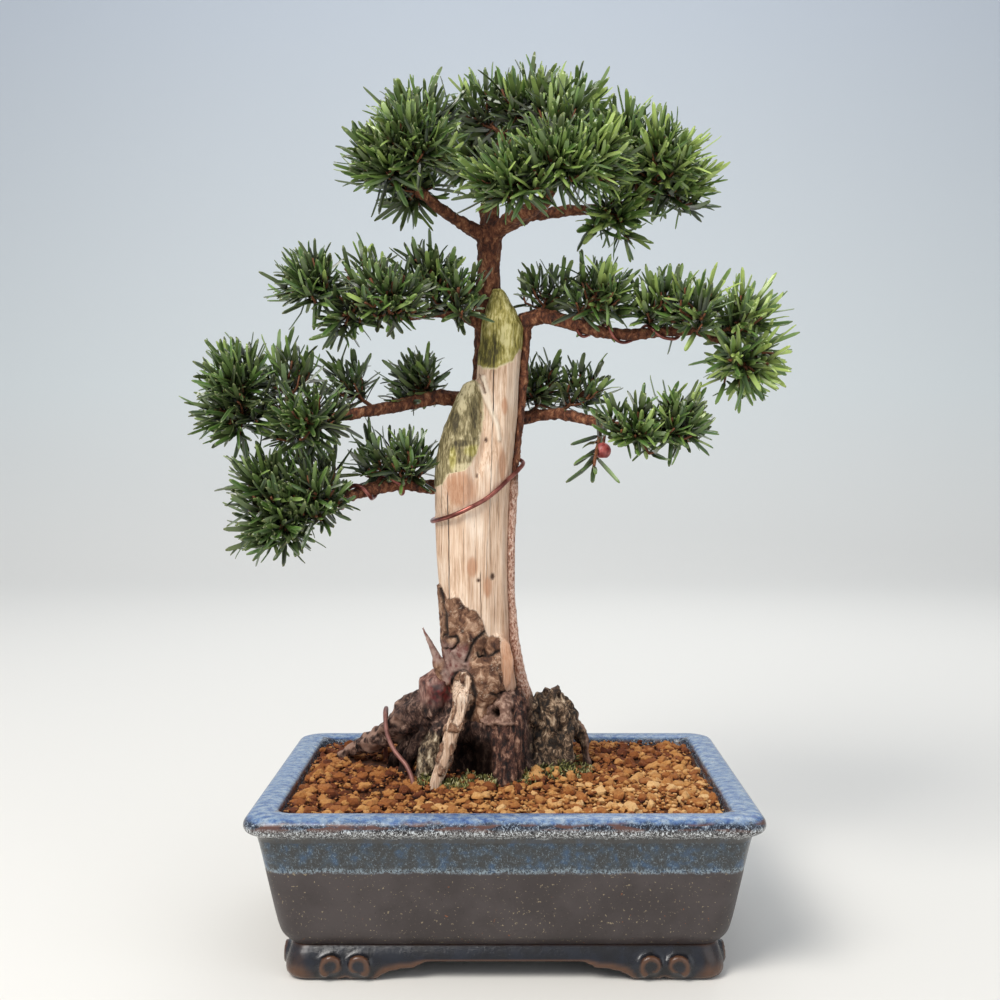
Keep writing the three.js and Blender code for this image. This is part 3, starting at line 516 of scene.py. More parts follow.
class Look:
    """A material with one shader, and textures in the object's own space.

    look[name] is the mesh's attribute of that name.
    """

    def __init__(self, name, rough=0.6, metal=0.0):
        self.material = bpy.data.materials.new(name)
        self.material.use_nodes = True
        self.tree = self.material.node_tree
        self.shader = self.tree.nodes["Principled BSDF"]
        self.put("Roughness", rough)
        self.put("Metallic", metal)
        self.place = self.node("ShaderNodeTexCoord", {}, "Object")

    def __getitem__(self, name):
        return self.node("ShaderNodeAttribute", {}, "Fac", attribute_name=name)

    def feed(self, socket, value):
        """Sets a socket to a value of the tree, a colour code or a plain number."""
        if isinstance(value, Value):
            self.tree.links.new(value.socket, socket)
        elif isinstance(value, str):
            socket.default_value = colour(value)
        else:
            socket.default_value = value

    def put(self, name, value):
        """Sets an input of the shader."""
        self.feed(self.shader.inputs[name], value)

    def node(self, kind, inputs, output, **settings):
        """The output of a new node with those inputs and settings."""
        made = self.tree.nodes.new(kind)
        for key, value in settings.items():
            setattr(made, key, value)
        for key, value in inputs.items():
            self.feed(made.inputs[key], value)
        return Value(self, made.outputs[output])

    def calc(self, operation, *values):
        return self.node("ShaderNodeMath", dict(enumerate(values)), 0, operation=operation)

    def axis(self, name):
        """The point's X, Y or Z in the tree's own frame."""
        along = self.node("ShaderNodeSeparateXYZ", {0: self.place}, name)
        return along * METRE - float(MIDDLE["XYZ".index(name)])

    def noise(self, size, detail=2.0, rough=0.55, warp=0.0):
        """Noise from 0 to 1 with features of that size, one number or one for each axis."""
        sizes = size if isinstance(size, list) else [size] * 3
        mapping = {"Vector": self.place, "Scale": [METRE / s for s in sizes]}
        at = self.node("ShaderNodeMapping", mapping, "Vector")
        inputs = {"Vector": at, "Scale": 1, "Detail": detail, "Roughness": rough, "Distortion": warp}
        return self.node("ShaderNodeTexNoise", inputs, "Fac")

    def bump(self, height, depth):
        """Relief of that many millimetres."""
        inputs = {"Height": height, "Distance": depth / METRE}
        self.put("Normal", self.node("ShaderNodeBump", inputs, "Normal"))


# Pot


def rounded_ring(inset, z, narrower=0.0, per_corner=12):
    """A rectangle with round corners, that far inside the rim's edge."""
    half_x = POT_LENGTH / 2 - inset - narrower
    half_y = POT_WIDTH / 2 - inset
    corner = max(RIM_CORNER - inset * 0.15, 7)
    ring = []
    for quarter, (sx, sy) in enumerate([(1, 1), (-1, 1), (-1, -1), (1, -1)]):
        for k in range(per_corner + 1):
            angle = (quarter + k / per_corner) * TURN / 4
            x = sx * (half_x - corner) + corner * math.cos(angle)
            y = sy * (half_y - corner) + corner * math.sin(angle)
            ring.append([x, y, z])
    return ring


def rounded_profile(profile, rounds=2):
    """The profile with its corners cut, its two ends kept."""
    line = np.array([[*row, 0][:3] for row in profile], float)
    for _ in range(rounds):
        a, b = line[:-1], line[1:]
        pairs = np.stack([0.75 * a + 0.25 * b, 0.25 * a + 0.75 * b], axis=1)
        line = np.concatenate([line[:1], pairs.reshape(-1, 3), line[-1:]])
    return line


def skin_of(profile, rounds=2):
    """The pot-shaped skin of a profile: height, inset and what else is off X."""
    return skin([rounded_ring(inset, z, more) for z, inset, more in rounded_profile(profile, rounds)])


# The bowl's profile, from under its floor out and over the rim to the floor inside: height, inset
BOWL = [
    [FLOOR_BOTTOM, 31], [FLOOR_BOTTOM, 20.5], [17.5, 18.6], [21, 15.8], [27, 14], [47, 10.1],
    [68.5, 6], [70.5, 4.6], [71.8, 1.4], [74.5, 0], [77.8, 0.7], [POT_HEIGHT, 3.6],
    [POT_HEIGHT, 12], [POT_HEIGHT - 1.4, 15], [70, 16.6], [30, 22.8], [FLOOR_TOP, 28], [FLOOR_TOP, 40],
]
# The skirt of the feet and the hollow under it: height, inset and what else is off X
SKIRT = [[0, 19.4, 1.5], [1.4, 16.8, 1.5], [5, 15.8, 1.5], [11, 17.2, 1.5], [16.5, 20.6, 0]]
FOOT_HOLLOW = [[-1, 33], [FLOOR_BOTTOM, 31]]
# The notch between the two lobes of a foot, as [x, z], and where it lies from the pot's middle
NOTCH = [[3.2, -1], [0, 2.4], [-3.2, -1]]
FRONT_NOTCH = POT_LENGTH / 2 - NOTCH_REACH
SIDE_NOTCH = POT_WIDTH / 2 - NOTCH_REACH + 5
# The curls on the feet: turn in degrees, reach and radius, each from the outer end to the inner
CURL_TURN = (240, -150)
CURL_REACH = (4.7, 1.3)
CURL_RADIUS = (1.9, 1.5)
CURL_STEPS = 36
CURL_APART = 5.9
CURL_HEIGHT = 7.6
CURL_FRONT = 74.3
CURL_SIDE = 103.8
FEET_VOXEL = 1.35


def prism(outline, reach, turned=False):
    """A bar with that outline in X and Z, along Y, or along X if it is turned."""
    outline = np.array(outline, float)
    rings = [
        np.stack([outline[:, 0], np.full(len(outline), y), outline[:, 1]], axis=1)
        for y in (reach, -reach)
    ]
    if turned:
        rings = [np.stack([-r[:, 1], r[:, 0], r[:, 2]], axis=1) for r in rings]
    return skin(rings)


def arch_outline(half_span, ledge):
    """The opening under one side of the pot, which steps up from the feet to the middle."""
    side = [
        (half_span, -1),
        (half_span - 3, 2.6),
        (half_span - 8, 4.8),
        (half_span - 13, 5.7),
        (half_span - 13 - ledge, 6),
        (half_span - 17 - ledge, 8),
        (half_span - 21 - ledge, 9),
    ]
    return side + [(-x, z) for x, z in reversed(side)]


def cut(made, cutters):
    """The points and faces of the object with each cutter taken out of it."""
    tools = [object_of("cutter", *cutter) for cutter in cutters]
    for tool in tools:
        less = made.modifiers.new("Less", "BOOLEAN")
        less.operation = "DIFFERENCE"
        less.solver = "EXACT"
        less.object = tool
    split = made.modifiers.new("Split", "TRIANGULATE")
    split.min_vertices = 5
    found = evaluated(made)
    for tool in tools:
        bpy.data.objects.remove(tool)
    return found


def scroll(middle, across, hand):
    """A raised curl of a foot, in the plane of across and up."""
    turn = np.radians(np.linspace(*CURL_TURN, CURL_STEPS))
    reach = np.linspace(*CURL_REACH, CURL_STEPS)
    flat = np.cos(turn) * reach * hand
    points = middle + flat[:, None] * across + (np.sin(turn) * reach)[:, None] * UP
    return tube(points, np.linspace(*CURL_RADIUS, CURL_STEPS), 8)


def scrolls():
    """Two curls on each outer face of each foot."""
    x_axis, y_axis = np.eye(3)[:2]
    curls = []
    for sx, sy, hand in product((-1, 1), repeat=3):
        front = np.array([sx * FRONT_NOTCH + hand * CURL_APART, sy * CURL_FRONT, CURL_HEIGHT])
        side = np.array([sx * CURL_SIDE, sy * SIDE_NOTCH + hand * CURL_APART, CURL_HEIGHT])
        curls.append(scroll(front, x_axis, -hand))
        curls.append(scroll(side, y_axis, -hand))
    return curls


def feet():
    """The pot's four feet and the skirt that joins them, as one even skin."""
    front_span = POT_LENGTH / 2 - FOOT_REACH
    side_span = POT_WIDTH / 2 - FOOT_REACH + 6
    cutters = [
        skin_of(FOOT_HOLLOW, 0),
        prism(arch_outline(front_span, 5), POT_WIDTH),
        prism(arch_outline(side_span, 1), POT_LENGTH, turned=True),
    ]
    for hand in (-1, 1):
        cutters.append(prism(np.add(NOTCH, [hand * FRONT_NOTCH, 0]), POT_WIDTH))
        cutters.append(prism(np.add(NOTCH, [hand * SIDE_NOTCH, 0]), POT_LENGTH, turned=True))
    plain = cut(object_of("skirt", *skin_of(SKIRT)), cutters)
    return even_skin(object_of("feet", *merged([plain, *scrolls()])), FEET_VOXEL)


def round_rod(radius, low, high, x, y, sides=40):
    """An upright rod."""
    angle = np.arange(sides) * TURN / sides
    ring = np.stack([x + radius * np.cos(angle), y + radius * np.sin(angle)], axis=1)
    return skin([np.column_stack([ring, np.full(sides, z)]) for z in (low, high)])


# Heights at which the glaze changes
GLAZE_EDGE = 53
LIP_EDGE = 70.2
LIP_MIDDLE = 75
RIM_EDGE = 78.2


def rim_colour(look, speckle):
    streaks = look.noise([5, 3.5, 4], 6, 0.68, 0.2)
    blue = streaks.ramp((0.36, "#3f5d93"), (0.46, "#6380a8"), (0.56, "#8b9fb5"), (0.68, "#abb7c2"))
    return blue.covered("#434b5e", speckle.between(0.46, 0.38) * 0.6)


def lip_colour(look, speckle):
    worms = speckle.ramp((0.4, "#14161b"), (0.47, "#5b5a5a"), (0.54, "#8d8b88"), (0.6, "#dbe0e2"))
    dusk = speckle.ramp((0.42, "#1a1c22"), (0.52, "#2b3445"), (0.6, "#6f7d8d"), (0.66, "#a9b2b8"))
    upper = dusk.covered("#5c4039", look.noise([16, 16, 3], 3).between(0.5, 0.6))
    return worms.covered(upper, look.axis("Z").between(LIP_MIDDLE - 1.5, LIP_MIDDLE + 1.5))


def band_colour(look, speckle):
    band = look.noise(6, 4, 0.6).ramp((0.42, "#393a3a"), (0.52, "#3d454b"), (0.66, "#3b526b"))
    band = band.covered("#2b2e33", speckle.between(0.43, 0.37) * 0.6)
    return band.covered("#8394a0", speckle.between(0.57, 0.65) * 0.55)


def clay_colour(look):
    clay = look.noise(22, 4).ramp((0.4, "#393130"), (0.6, "#453d3c"))
    fine = look.noise(1.2, 2)
    clay = clay.covered("#9b8c70", fine.between(0.66, 0.71) * 0.8)
    clay = clay.covered("#241f20", fine.between(0.33, 0.27) * 0.7)
    return clay.covered("#7d4c2e", look.noise(2.6, 2).between(0.73, 0.77))


def foot_colour(look):
    foot = look.noise(9, 3).ramp((0.4, "#1a191b"), (0.6, "#1f2128"))
    return foot.covered("#63432f", look["ridge"] * 0.8)


def glaze_look():
    look = Look("Mottled blue glaze over brown clay")
    height = look.axis("Z")
    drifting = height + (look.noise(7, 3) * 3 - 1.5)
    speckle = look.noise([0.9, 0.9, 1.3], 3, 0.6, 1.2)
    glazed = drifting.between(GLAZE_EDGE, GLAZE_EDGE + 0.8)
    fringe = drifting.between(GLAZE_EDGE - 0.8, GLAZE_EDGE + 0.4)
    fringe = fringe * drifting.between(GLAZE_EDGE + 3, GLAZE_EDGE + 1) * speckle.between(0.44, 0.56)
    lip = lip_colour(look, speckle)
    inner = lip.covered("#5f4436", look.noise(7, 3).between(0.56, 0.66))
    body = clay_colour(look).covered(foot_colour(look), height.between(17.5, 15.5))
    body = body.covered(band_colour(look, speckle), glazed)
    body = body.covered("#8f9ea7", fringe * 0.75)
    # Painted shadow: a grey-brown band on the wall just under the lip, where the lip shades it
    body = body.covered("#4f4c49", height.between(LIP_EDGE - 3, LIP_EDGE - 2) * 0.7)
    body = body.covered(lip, drifting.between(LIP_EDGE - 0.6, LIP_EDGE + 0.6))
    body = body.covered(rim_colour(look, speckle), drifting.between(RIM_EDGE - 1, RIM_EDGE + 1))
    look.put("Base Color", body.covered(inner, look["inside"]))
    shine = glazed.at_least(height.between(18, 15))
    look.put("Roughness", shine * -0.22 + 0.46)
    look.bump(look.noise(2.4, 3) + speckle * 0.4, 0.16)
    return look.material


def make_pot():
    drains = [
        round_rod(DRAIN_RADIUS, FLOOR_BOTTOM - 3, FLOOR_TOP + 3, hand * DRAIN_SPACING / 2, 0)
        for hand in (-1, 1)
    ]
    bowl = cut(object_of("bowl", *skin_of(BOWL)), drains)
    foot = feet()
    points, faces = merged([bowl, foot])
    x, y, z = points.T
    inset = np.minimum(POT_LENGTH / 2 - np.abs(x), POT_WIDTH / 2 - np.abs(y))
    wall = np.interp(z, [FLOOR_BOTTOM, 27, 68.5, POT_HEIGHT], [20.5, 14, 6, 3])
    out = standing_out(foot[0], edges_of(foot[1]), normals_of(*foot), 10)
    made = piece(
        "glazed_pot",
        points,
        faces,
        glaze_look(),
        "pot",
        inside=ease(inset, 13.8, 15.6) * ease(inset - wall, 4, 6) * ease(z, 18, 22),
        ridge=np.concatenate([np.zeros(len(bowl[0])), ease(out, 0.12, 0.5)]),
    )
    made.data.shade_smooth()
    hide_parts("pot")


# Soil


def soil_look():
    look = Look("Baked clay granules", rough=0.92)
    tint = look["tint"] + (look.noise(1.0, 3) * 0.36 - 0.18)
    dark = [(0.0, "#2e0f03"), (0.25, "#6d3413")]
    pale = [(0.5, "#a3622d"), (0.75, "#d09654"), (1.0, "#efc184")]
    look.put("Base Color", tint.ramp(*dark, *pale))
    look.bump(look.noise(1.0, 5, 0.75), 1.0)
    return look.material


def bed_look():
    look = Look("Shaded soil", rough=0.95)
    look.put("Base Color", look.noise(3, 3).ramp((0.3, "#2a1509"), (0.7, "#643717")))
    return look.material


def search_tree(points, faces):
    """A search tree over a mesh, in millimetres."""
    return BVHTree.FromPolygons(points.tolist(), [f for block in faces for f in block.tolist()])


def tree_of_node(name):
    """A search tree over a node, in millimetres."""
    return search_tree(*arrays_of(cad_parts[name].data))


def icosphere(rounds):
    """The points and triangles of a ball of radius 1."""
    ball = bmesh.new()
    bmesh.ops.create_icosphere(ball, subdivisions=rounds, radius=1)
    ball.verts.ensure_lookup_table()
    points = np.array([v.co for v in ball.verts])
    faces = np.array([[v.index for v in f.verts] for f in ball.faces])
    ball.free()
    return points, faces


RAY_START = 120  # above the soil, under the lowest branch
BED_LOW = 66  # the soil's top lies nowhere lower


def top_of(bed, x, y):
    """The height of the soil's top there, or None where it has a hole for a root."""
    hit = bed.ray_cast(Vector((x, y, RAY_START)), DOWN)[0]
    return hit.z if hit is not None and hit.z >= BED_LOW else None


# Layers of granules: spacing, share kept, radius from and to, rise above the bed, rounds of the ball
GRANULES = [
    (4.6, 1.0, 1.5, 3.9, 0.0, 2),
    (4.6, 0.3, 1.5, 3.3, 1.9, 2),
    (3.0, 1.0, 0.65, 1.4, 1.9, 1),
]
SOIL_INSET = 16.5
CLEAR_ABOVE = 12  # a granule has no wood over it within this height
JITTER = 0.9  # the room that a granule has round its grid place, as a share of the spacing


def granule_places(layer, bed, woods):
    """Where the granules of a layer lie, with a size, a tint and a seed for each."""
    step, kept, small, large, rise, _ = GRANULES[layer]
    inner_x = POT_LENGTH / 2 - SOIL_INSET
    inner_y = POT_WIDTH / 2 - SOIL_INSET
    places = []
    for i in range(int(2 * inner_x / step) + 2):
        for j in range(int(2 * inner_y / step) + 2):
            seed = i * 131 + j + layer * 9001
            x = -inner_x + (i + 0.5 * (layer % 2) + (draw(seed, 1) - 0.5) * JITTER) * step
            y = -inner_y + (j + 0.5 * (layer % 2) + (draw(seed, 2) - 0.5) * JITTER) * step
            radius = small + (large - small) * draw(seed, 3) ** 2.2
            if draw(seed, 7) > kept or abs(x) > inner_x - radius or abs(y) > inner_y - radius:
                continue
            top = top_of(bed, x, y)
            if top is None:
                continue
            z = top + radius * 0.35 + rise * (0.6 + 0.7 * draw(seed, 8))
            above = Vector((x, y, z + CLEAR_ABOVE))
            if any(wood.ray_cast(above, DOWN, CLEAR_ABOVE + 1)[0] for wood in woods):
                continue
            ochre = ease(-y + 0.55 * x + 14 * (draw(seed, 5) - 0.5), -10, 80) * 0.27
            places.append([x, y, z, radius, 0.1 + ochre + 0.56 * draw(seed, 4), seed])
    return np.array(places)


def faceted(ball, seeds):
    """A ball for each seed, broken off by flat faces."""
    turn = np.stack([draw(seeds, k) * TURN for k in range(20, 29)], axis=1)
    lift = np.stack([draw(seeds, k) * 2 - 1 for k in range(30, 39)], axis=1)
    level = np.sqrt(1 - lift**2)
    ways = np.stack([level * np.cos(turn), level * np.sin(turn), lift], axis=-1)
    faces_off = np.stack([0.58 + 0.34 * draw(seeds, k) for k in range(40, 49)], axis=1)
    facing = np.maximum(np.einsum("vi,sfi->svf", ball, ways), 1e-3)
    reach = np.minimum((faces_off[:, None] / facing).min(axis=2), 1.15)
    rough = 1 + 0.36 * (draw(seeds[:, None] * 1.7 + np.arange(len(ball)), 51) - 0.5)
    return ball[None] * (reach * rough)[..., None]


def granules_of(layer, bed, woods):
    """The points, faces and tints of one layer of granules."""
    places = granule_places(layer, bed, woods)
    ball, triangles = icosphere(GRANULES[layer][5])
    seeds = places[:, 5]
    stretch = 0.78 + 0.5 * np.stack([draw(seeds, k) for k in (11, 12, 13)], axis=1)
    local = faceted(ball, seeds) * stretch[:, None]
    spin = draw(seeds, 14) * TURN
    c, s = np.cos(spin)[:, None], np.sin(spin)[:, None]
    x, y, z = np.moveaxis(local, -1, 0)
    local = np.stack([x * c - y * s, x * s + y * c, z * 0.86], axis=-1)
    points = places[:, None, :3] + local * places[:, 3][:, None, None]
    faces = triangles[None] + np.arange(len(places))[:, None, None] * len(ball)
    # Each granule's own random tint, made darker on its underside as painted shade
    tint = places[:, 4][:, None] + 0.08 - 0.62 * ease(-ball[:, 2], -0.5, 0.8)[None]
    return points.reshape(-1, 3), [faces.reshape(-1, 3)], tint.ravel()


def make_soil():
    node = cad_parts["soil"]
    node.data.materials.clear()
    node.data.materials.append(bed_look())
    bed = tree_of_node("soil")
    woods = [tree_of_node("living_wood"), tree_of_node("dead_trunk")]
    layers = [granules_of(layer, bed, woods) for layer in range(len(GRANULES))]
    points, faces = merged([layer[:2] for layer in layers])
    tint = np.concatenate([layer[2] for layer in layers])
    piece("soil_granules", points, faces, soil_look(), "soil", smooth=False, tint=tint)


# Dead wood


DEAD_VOXEL = 0.75
ROOT_PEG = [[-21, -5, 124], [-23, -13, 116], [-28, -16, 98], [-34, -18, 82], [-38, -20, 66]]
PEG_TOP = [[-21.2, 129], [-22.6, 124], [-23.6, 117]]  # as [x, z]
SPLINTER = [[-30, -1, 126], [-35, -3, 138], [-39, -4, 147], [-43, -4, 155]]
# The upper edge of the old bark, as [x, z]
BARK_TOP = [
    [-40, 178], [-36.7, 177.2], [-33.1, 175.6], [-30, 169], [-29.5, 170], [-23.8, 170.5],
    [-21.2, 166.8], [-15.6, 164.3], [-11.9, 158.6], [-10.4, 153.4], [-8.3, 150.3], [-2.7, 149.5],
    [-2.4, 144], [-2, 136.4], [-0.8, 126], [2, 118.8], [4.4, 112],
]
# Gaps between the plates of bark: half width, then [x, z] points
BARK_GAPS = [
    (0.8, [[-33.1, 175], [-31.6, 170], [-30, 163.7], [-29.5, 158.6], [-30, 152.4], [-32.1, 149.8]]),
    (0.5, [[-29.5, 151.3], [-24.3, 151.9], [-23.8, 148.8], [-26.4, 145.2], [-31, 143.6]]),
    (0.7, [[-10.9, 153.4], [-14, 150.8], [-17.6, 146.7], [-18.7, 142.6], [-20.2, 138.4]]),
    (0.5, [[-20.2, 132.8], [-21.8, 130.2], [-24.3, 129.1]]),
    (0.5, [[-14.5, 143.1], [-13, 140.5], [-9.9, 141.5], [-10.9, 144.1]]),
    (0.5, [[-8.8, 141], [-6.3, 141.5], [-3.7, 144.1]]),
    (0.5, [[-7.2, 122.4], [-5.2, 121.4], [-3.2, 121.4], [-0.1, 123.4]]),
    (1.0, [[-27.4, 126.5], [-25.8, 131.2], [-21.4, 133.4], [-17.4, 131], [-16, 126]]),
    (2.1, [[-17, 128], [-16, 122], [-17, 116], [-18.6, 109]]),
]
# The right edge of the lower leader's broken face, as [z, x]
LEADER_CUT = [
    [225, -45], [229.4, -33], [235.6, -28.5], [236.4, -21.8], [238.4, -19], [245.1, -15.1],
    [252.4, -13.4], [261.9, -11.7], [269.2, -11.4], [278.1, -12], [283.6, -15.1], [287, -45],
]
# The lower edge of the algae on the tip, as [x, z]
TIP_EDGE = [[-13, 292], [-11.5, 289.8], [-5.6, 289.8], [-3.2, 290.9], [0.8, 292.1], [3.9, 293.3], [7, 299.6]]
# Cracks of the bare wood: half width, lower [x, z], upper [x, z]
WOOD_CRACKS = [
    (0.34, [-28.9, 166], [-29.5, 227]),
    (0.22, [-32.7, 211], [-32.8, 232]),
    (0.36, [-6.1, 264], [-6.1, 292]),
    (0.36, [-6.1, 288], [-5, 310]),
    (0.26, [-7.9, 206], [-6.3, 270]),
    (0.2, [-7.6, 188], [-7.9, 211]),
    (0.28, [-12.4, 156], [-12.8, 186]),
    (0.18, [-21.2, 217], [-21.3, 237]),
    (0.2, [-21.6, 188], [-21.4, 209]),
    (0.18, [-3.4, 205], [-3.3, 227]),
    (0.2, [-9.9, 176], [-9.3, 203]),
    (0.18, [-5.5, 155], [-5.4, 174]),
    (0.18, [-15.4, 181], [-15.3, 199]),
]
WIDE_CRACK = 0.34  # half width of a crack that is nine tenths dark
# Raised strands of wood beside the lower leader, as [x, z]
STRANDS = [
    [[-13.4, 281], [-11.7, 278], [-10, 273.7], [-7.8, 269.2], [-5.6, 264.1], [-4.2, 259.7], [-3.3, 252.9]],
    [[-11.2, 285.4], [-8.9, 277], [-7.8, 270.3]],
]
# The dark lines between the strands are painted shade in the grooves there
STRAND_GAPS = [[[-13.4, 286.5], [-11.6, 282], [-10.2, 277]]]  # the dark lines between them
# Ovals seen from the front, as [x, z, half width, half height]
KNOTS = [[-6.5, 181.8, 1.3, 2], [-13.7, 180, 1, 1.2], [-9.9, 252.6, 1, 1.5], [-14.5, 234, 0.7, 1.4]]
# Patches of orange-brown colour on the bare wood. The tall one at x = 1 also paints shade on the tongue of
# bare wood low on the right
STAINS_AND_SHADE = [
    [-9, 176.5, 2.4, 6], [1, 127, 6, 30], [-0.3, 270, 1.8, 5],
    [-23, 227, 9, 10], [-17, 187, 3, 6], [-1.5, 240, 2, 9],
]
DARK_SCARS = [[-8.5, 299, 6, 9], [-22, 251, 5, 2], [-26, 262, 3, 7], [-16, 266, 2, 9]]
PALE_SCARS = [[-19.5, 280, 4.5, 5], [-21, 238, 7, 3], [1, 307, 4, 7], [-23, 271, 2.5, 6]]
FRESH_GREEN = [[-16.5, 247, 5, 3.4], [-27, 243, 2, 7]]


def in_ovals(points, ovals):
    """1 well inside any of the ovals seen from the front, 0 outside them."""
    found = np.zeros(len(points))
    for x, z, wide, high in ovals:
        away = np.hypot((points[:, 0] - x) / wide, (points[:, 2] - z) / high)
        found = np.maximum(found, ease(away, 1.15, 0.6))
    return found


def bark_field(points, peg):
    """Millimetres into the old bark of the lower trunk, less than 0 on bare wood."""
    x, y, z = points.T
    top = np.interp(x, *np.array(BARK_TOP, float).T)
    ragged = 1.1 * noise(points, 3.5, 21) + 0.6 * noise(points, 1.7, 22)
    trunk = np.minimum(top - z, 5 - y) + ragged
    scraps = 3.4 * noise(points, [3, 3, 6], 23) + 3 * ease(np.abs(z - 106), 4, 1)
    scraps = scraps + 0.3 * (z - 130) * ease(z, 118, 126) - 1.6
    return np.clip(trunk * (1 - peg) + scraps * peg, -3, 3)


def algae_field(points):
    """Millimetres into the green of the two broken tops, less than 0 outside it."""
    x, _, z = points.T
    stub = np.interp(z, *np.array(LEADER_CUT, float).T) - x
    tip = z - np.interp(x, *np.array(TIP_EDGE, float).T)
    return np.clip(np.maximum(stub, tip) + 0.7 * noise(points, 2.2, 31), -3, 3)


def wood_colour(look, grain):
    fine = look.noise([0.42, 0.42, 15], 3, 0.6)
    broad = look.noise([9, 9, 22], 3, 0.5)
    shade = grain * 0.42 + fine * 0.3 + broad * 0.28
    wood = shade.ramp((0.36, "#9a7558"), (0.44, "#cba88b"), (0.52, "#e2c5aa"), (0.62, "#f6e2cd"))
    # Orange-brown patches, and painted shade on the tongue of bare wood low on the right
    wood = wood.covered("#b97f5a", look["stain"] * 0.65)
    fissures = look.noise([0.9, 0.9, 9], 4).between(0.52, 0.62) * look["peg"]
    wood = wood.covered("#6b4c39", fissures * 0.75)
    dashes = look.noise([0.4, 0.4, 7], 2).between(0.66, 0.74)
    return wood.covered("#80604a", dashes * 0.5)


def algae_colour(look):
    tone = look["tone"] * 0.34 + (look.noise([4, 4, 7], 3) * 0.36 - 0.34)
    streaks = look.noise([1.1, 1.1, 6], 4, 0.65) + tone
    leader = streaks.ramp((0.3, "#433a22"), (0.43, "#736742"), (0.54, "#948760"), (0.66, "#cdbf96"))
    tip = streaks.ramp((0.3, "#4d461c"), (0.43, "#857c36"), (0.54, "#ada158"), (0.66, "#d6cc90"))
    return leader.covered(tip, look.axis("Z").between(284, 288).at_least(look["fresh"]))


def bark_colour(look):
    flakes = look.noise([4.5, 4.5, 5.5], 6, 0.62, 0.8)
    bark = flakes.ramp((0.34, "#361d12"), (0.44, "#64412d"), (0.54, "#8c674d"), (0.66, "#cba88c"))
    lichen = look.noise([1.1, 1.1, 0.8], 4, 0.7).between(0.54, 0.62)
    lichen = lichen * look.noise(7, 2).between(0.5, 0.62)
    bark = bark.covered("#cdbba4", lichen * 0.7)
    smooth = look.noise(3.5, 4).ramp((0.38, "#7a4a43"), (0.46, "#96766b"), (0.62, "#b09488"))
    # The gaps between the plates are near black: painted shade in the fissures
    return bark.covered(smooth, look["skin"]).covered("#20140d", look["gap"])


def crack_line(x, z, width, low, high):
    """1 on a thin line from one [x, z] of the tree up to another, drawn right through."""
    slope = (high[0] - low[0]) / (high[1] - low[1])
    off = abs(x - (z * slope + (low[0] - slope * low[1])))
    tall = z.between(low[1], low[1] + 4) * z.between(high[1], high[1] - 4)
    return off.between(width, width * 0.3) * tall


def wood_cracks(look):
    """How dark each crack of the bare wood is. The finer ones are fainter."""
    x = look.axis("X") + (look.noise([900, 900, 26], 3) * 2 - 1)
    z = look.axis("Z")
    lines = []
    for width, low, high in WOOD_CRACKS:
        darkness = 0.9 * (width / WIDE_CRACK) ** 1.5
        lines.append(crack_line(x, z, width, low, high) * darkness)
    return reduce(Value.at_least, lines)


def dead_look():
    look = Look("Bleached wood with old bark")
    grain = look.noise([1.0, 1.0, 30], 4, 0.6, 0.3)
    ragged = look.noise(0.8, 3) * 1.6 - 0.8
    dark = wood_cracks(look)
    wood = wood_colour(look, grain).covered("#33221a", dark)
    wood = wood.covered("#4c3220", look["knot"])
    edge = look["algae"] + ragged
    green = algae_colour(look).covered("#2d2414", dark * 0.8)
    wood = wood.covered(green, edge.between(-0.15, 0.15))
    # Painted highlight: a pale line along the edge of the green, on the ridge of the broken face
    wood = wood.covered("#e0d0ab", edge.between(-0.9, 0.0) * edge.between(1.0, 0.2) * 0.6)
    # Painted highlight on the raised strands of wood beside the lower leader
    wood = wood.covered("#f6e6cf", look["strand"] * 0.7)
    # Painted shade: dark lines in the grooves between the raised strands
    wood = wood.covered("#5b4130", look["seam"] * 0.75)
    edge = look["bark"] + ragged
    bark = edge.between(-0.15, 0.15)
    # Painted shadow: a dark band on the bare wood just outside the bark's edge, below its raised step
    wood = wood.covered("#5a3d2b", edge.between(-0.9, -0.2) * 0.6)
    look.put("Base Color", wood.covered(bark_colour(look), bark))
    look.put("Roughness", bark * 0.12 + 0.68)
    fibres = grain + look.noise([0.5, 0.5, 12], 3) - dark * 2
    look.bump(fibres + bark * (look.noise([3, 3, 4], 6, 0.68, 0.8) * 3.4), 0.3)
    return look.material


def dead_areas(points):
    """Where each kind of surface lies on the dead wood: millimetres for bark and algae, else 0 to 1."""
    x, y, z = points.T
    front = points[:, [0, 2]]
    facing = ease(y, 2, -1)
    at = SimpleNamespace(algae=algae_field(points))
    at.peg_top = on_path(front, PEG_TOP, 4.6, 3.8) * ease(y, 1, -3)
    at.peg = np.maximum(on_path(points, ROOT_PEG, 7, 6) * ease(z, 126, 121), at.peg_top)
    at.splinter = on_path(points, SPLINTER, 5, 4) * ease(z, 134, 140) * ease(x, -31, -34)
    at.bark = bark_field(points, at.peg) * (1 - at.splinter) + 2 * at.splinter
    wavy = front + 0.7 * np.stack([noise(points, 3.2, 24), noise(points, 3.2, 25)], axis=1)
    gaps = [on_path(wavy, path, wide + 0.5, wide * 0.3) for wide, path in BARK_GAPS]
    at.gap = np.max(gaps, axis=0) * facing * (1 - at.peg)
    smooth = ease(x, -34, -31) * ease(x, -17, -20) * ease(z, 124, 128) * ease(z, 150, 145)
    at.smooth = np.maximum(smooth * (1 - at.peg), at.splinter)
    at.strand = np.max([on_path(front, path, 1.6, 0.5) for path in STRANDS], axis=0) * facing
    at.seam = np.max([on_path(front, path, 0.75, 0.3) for path in STRAND_GAPS], axis=0)
    at.barky = ease(at.bark, -0.3, 0.5)
    at.green = ease(at.algae, -0.3, 0.5)
    return at


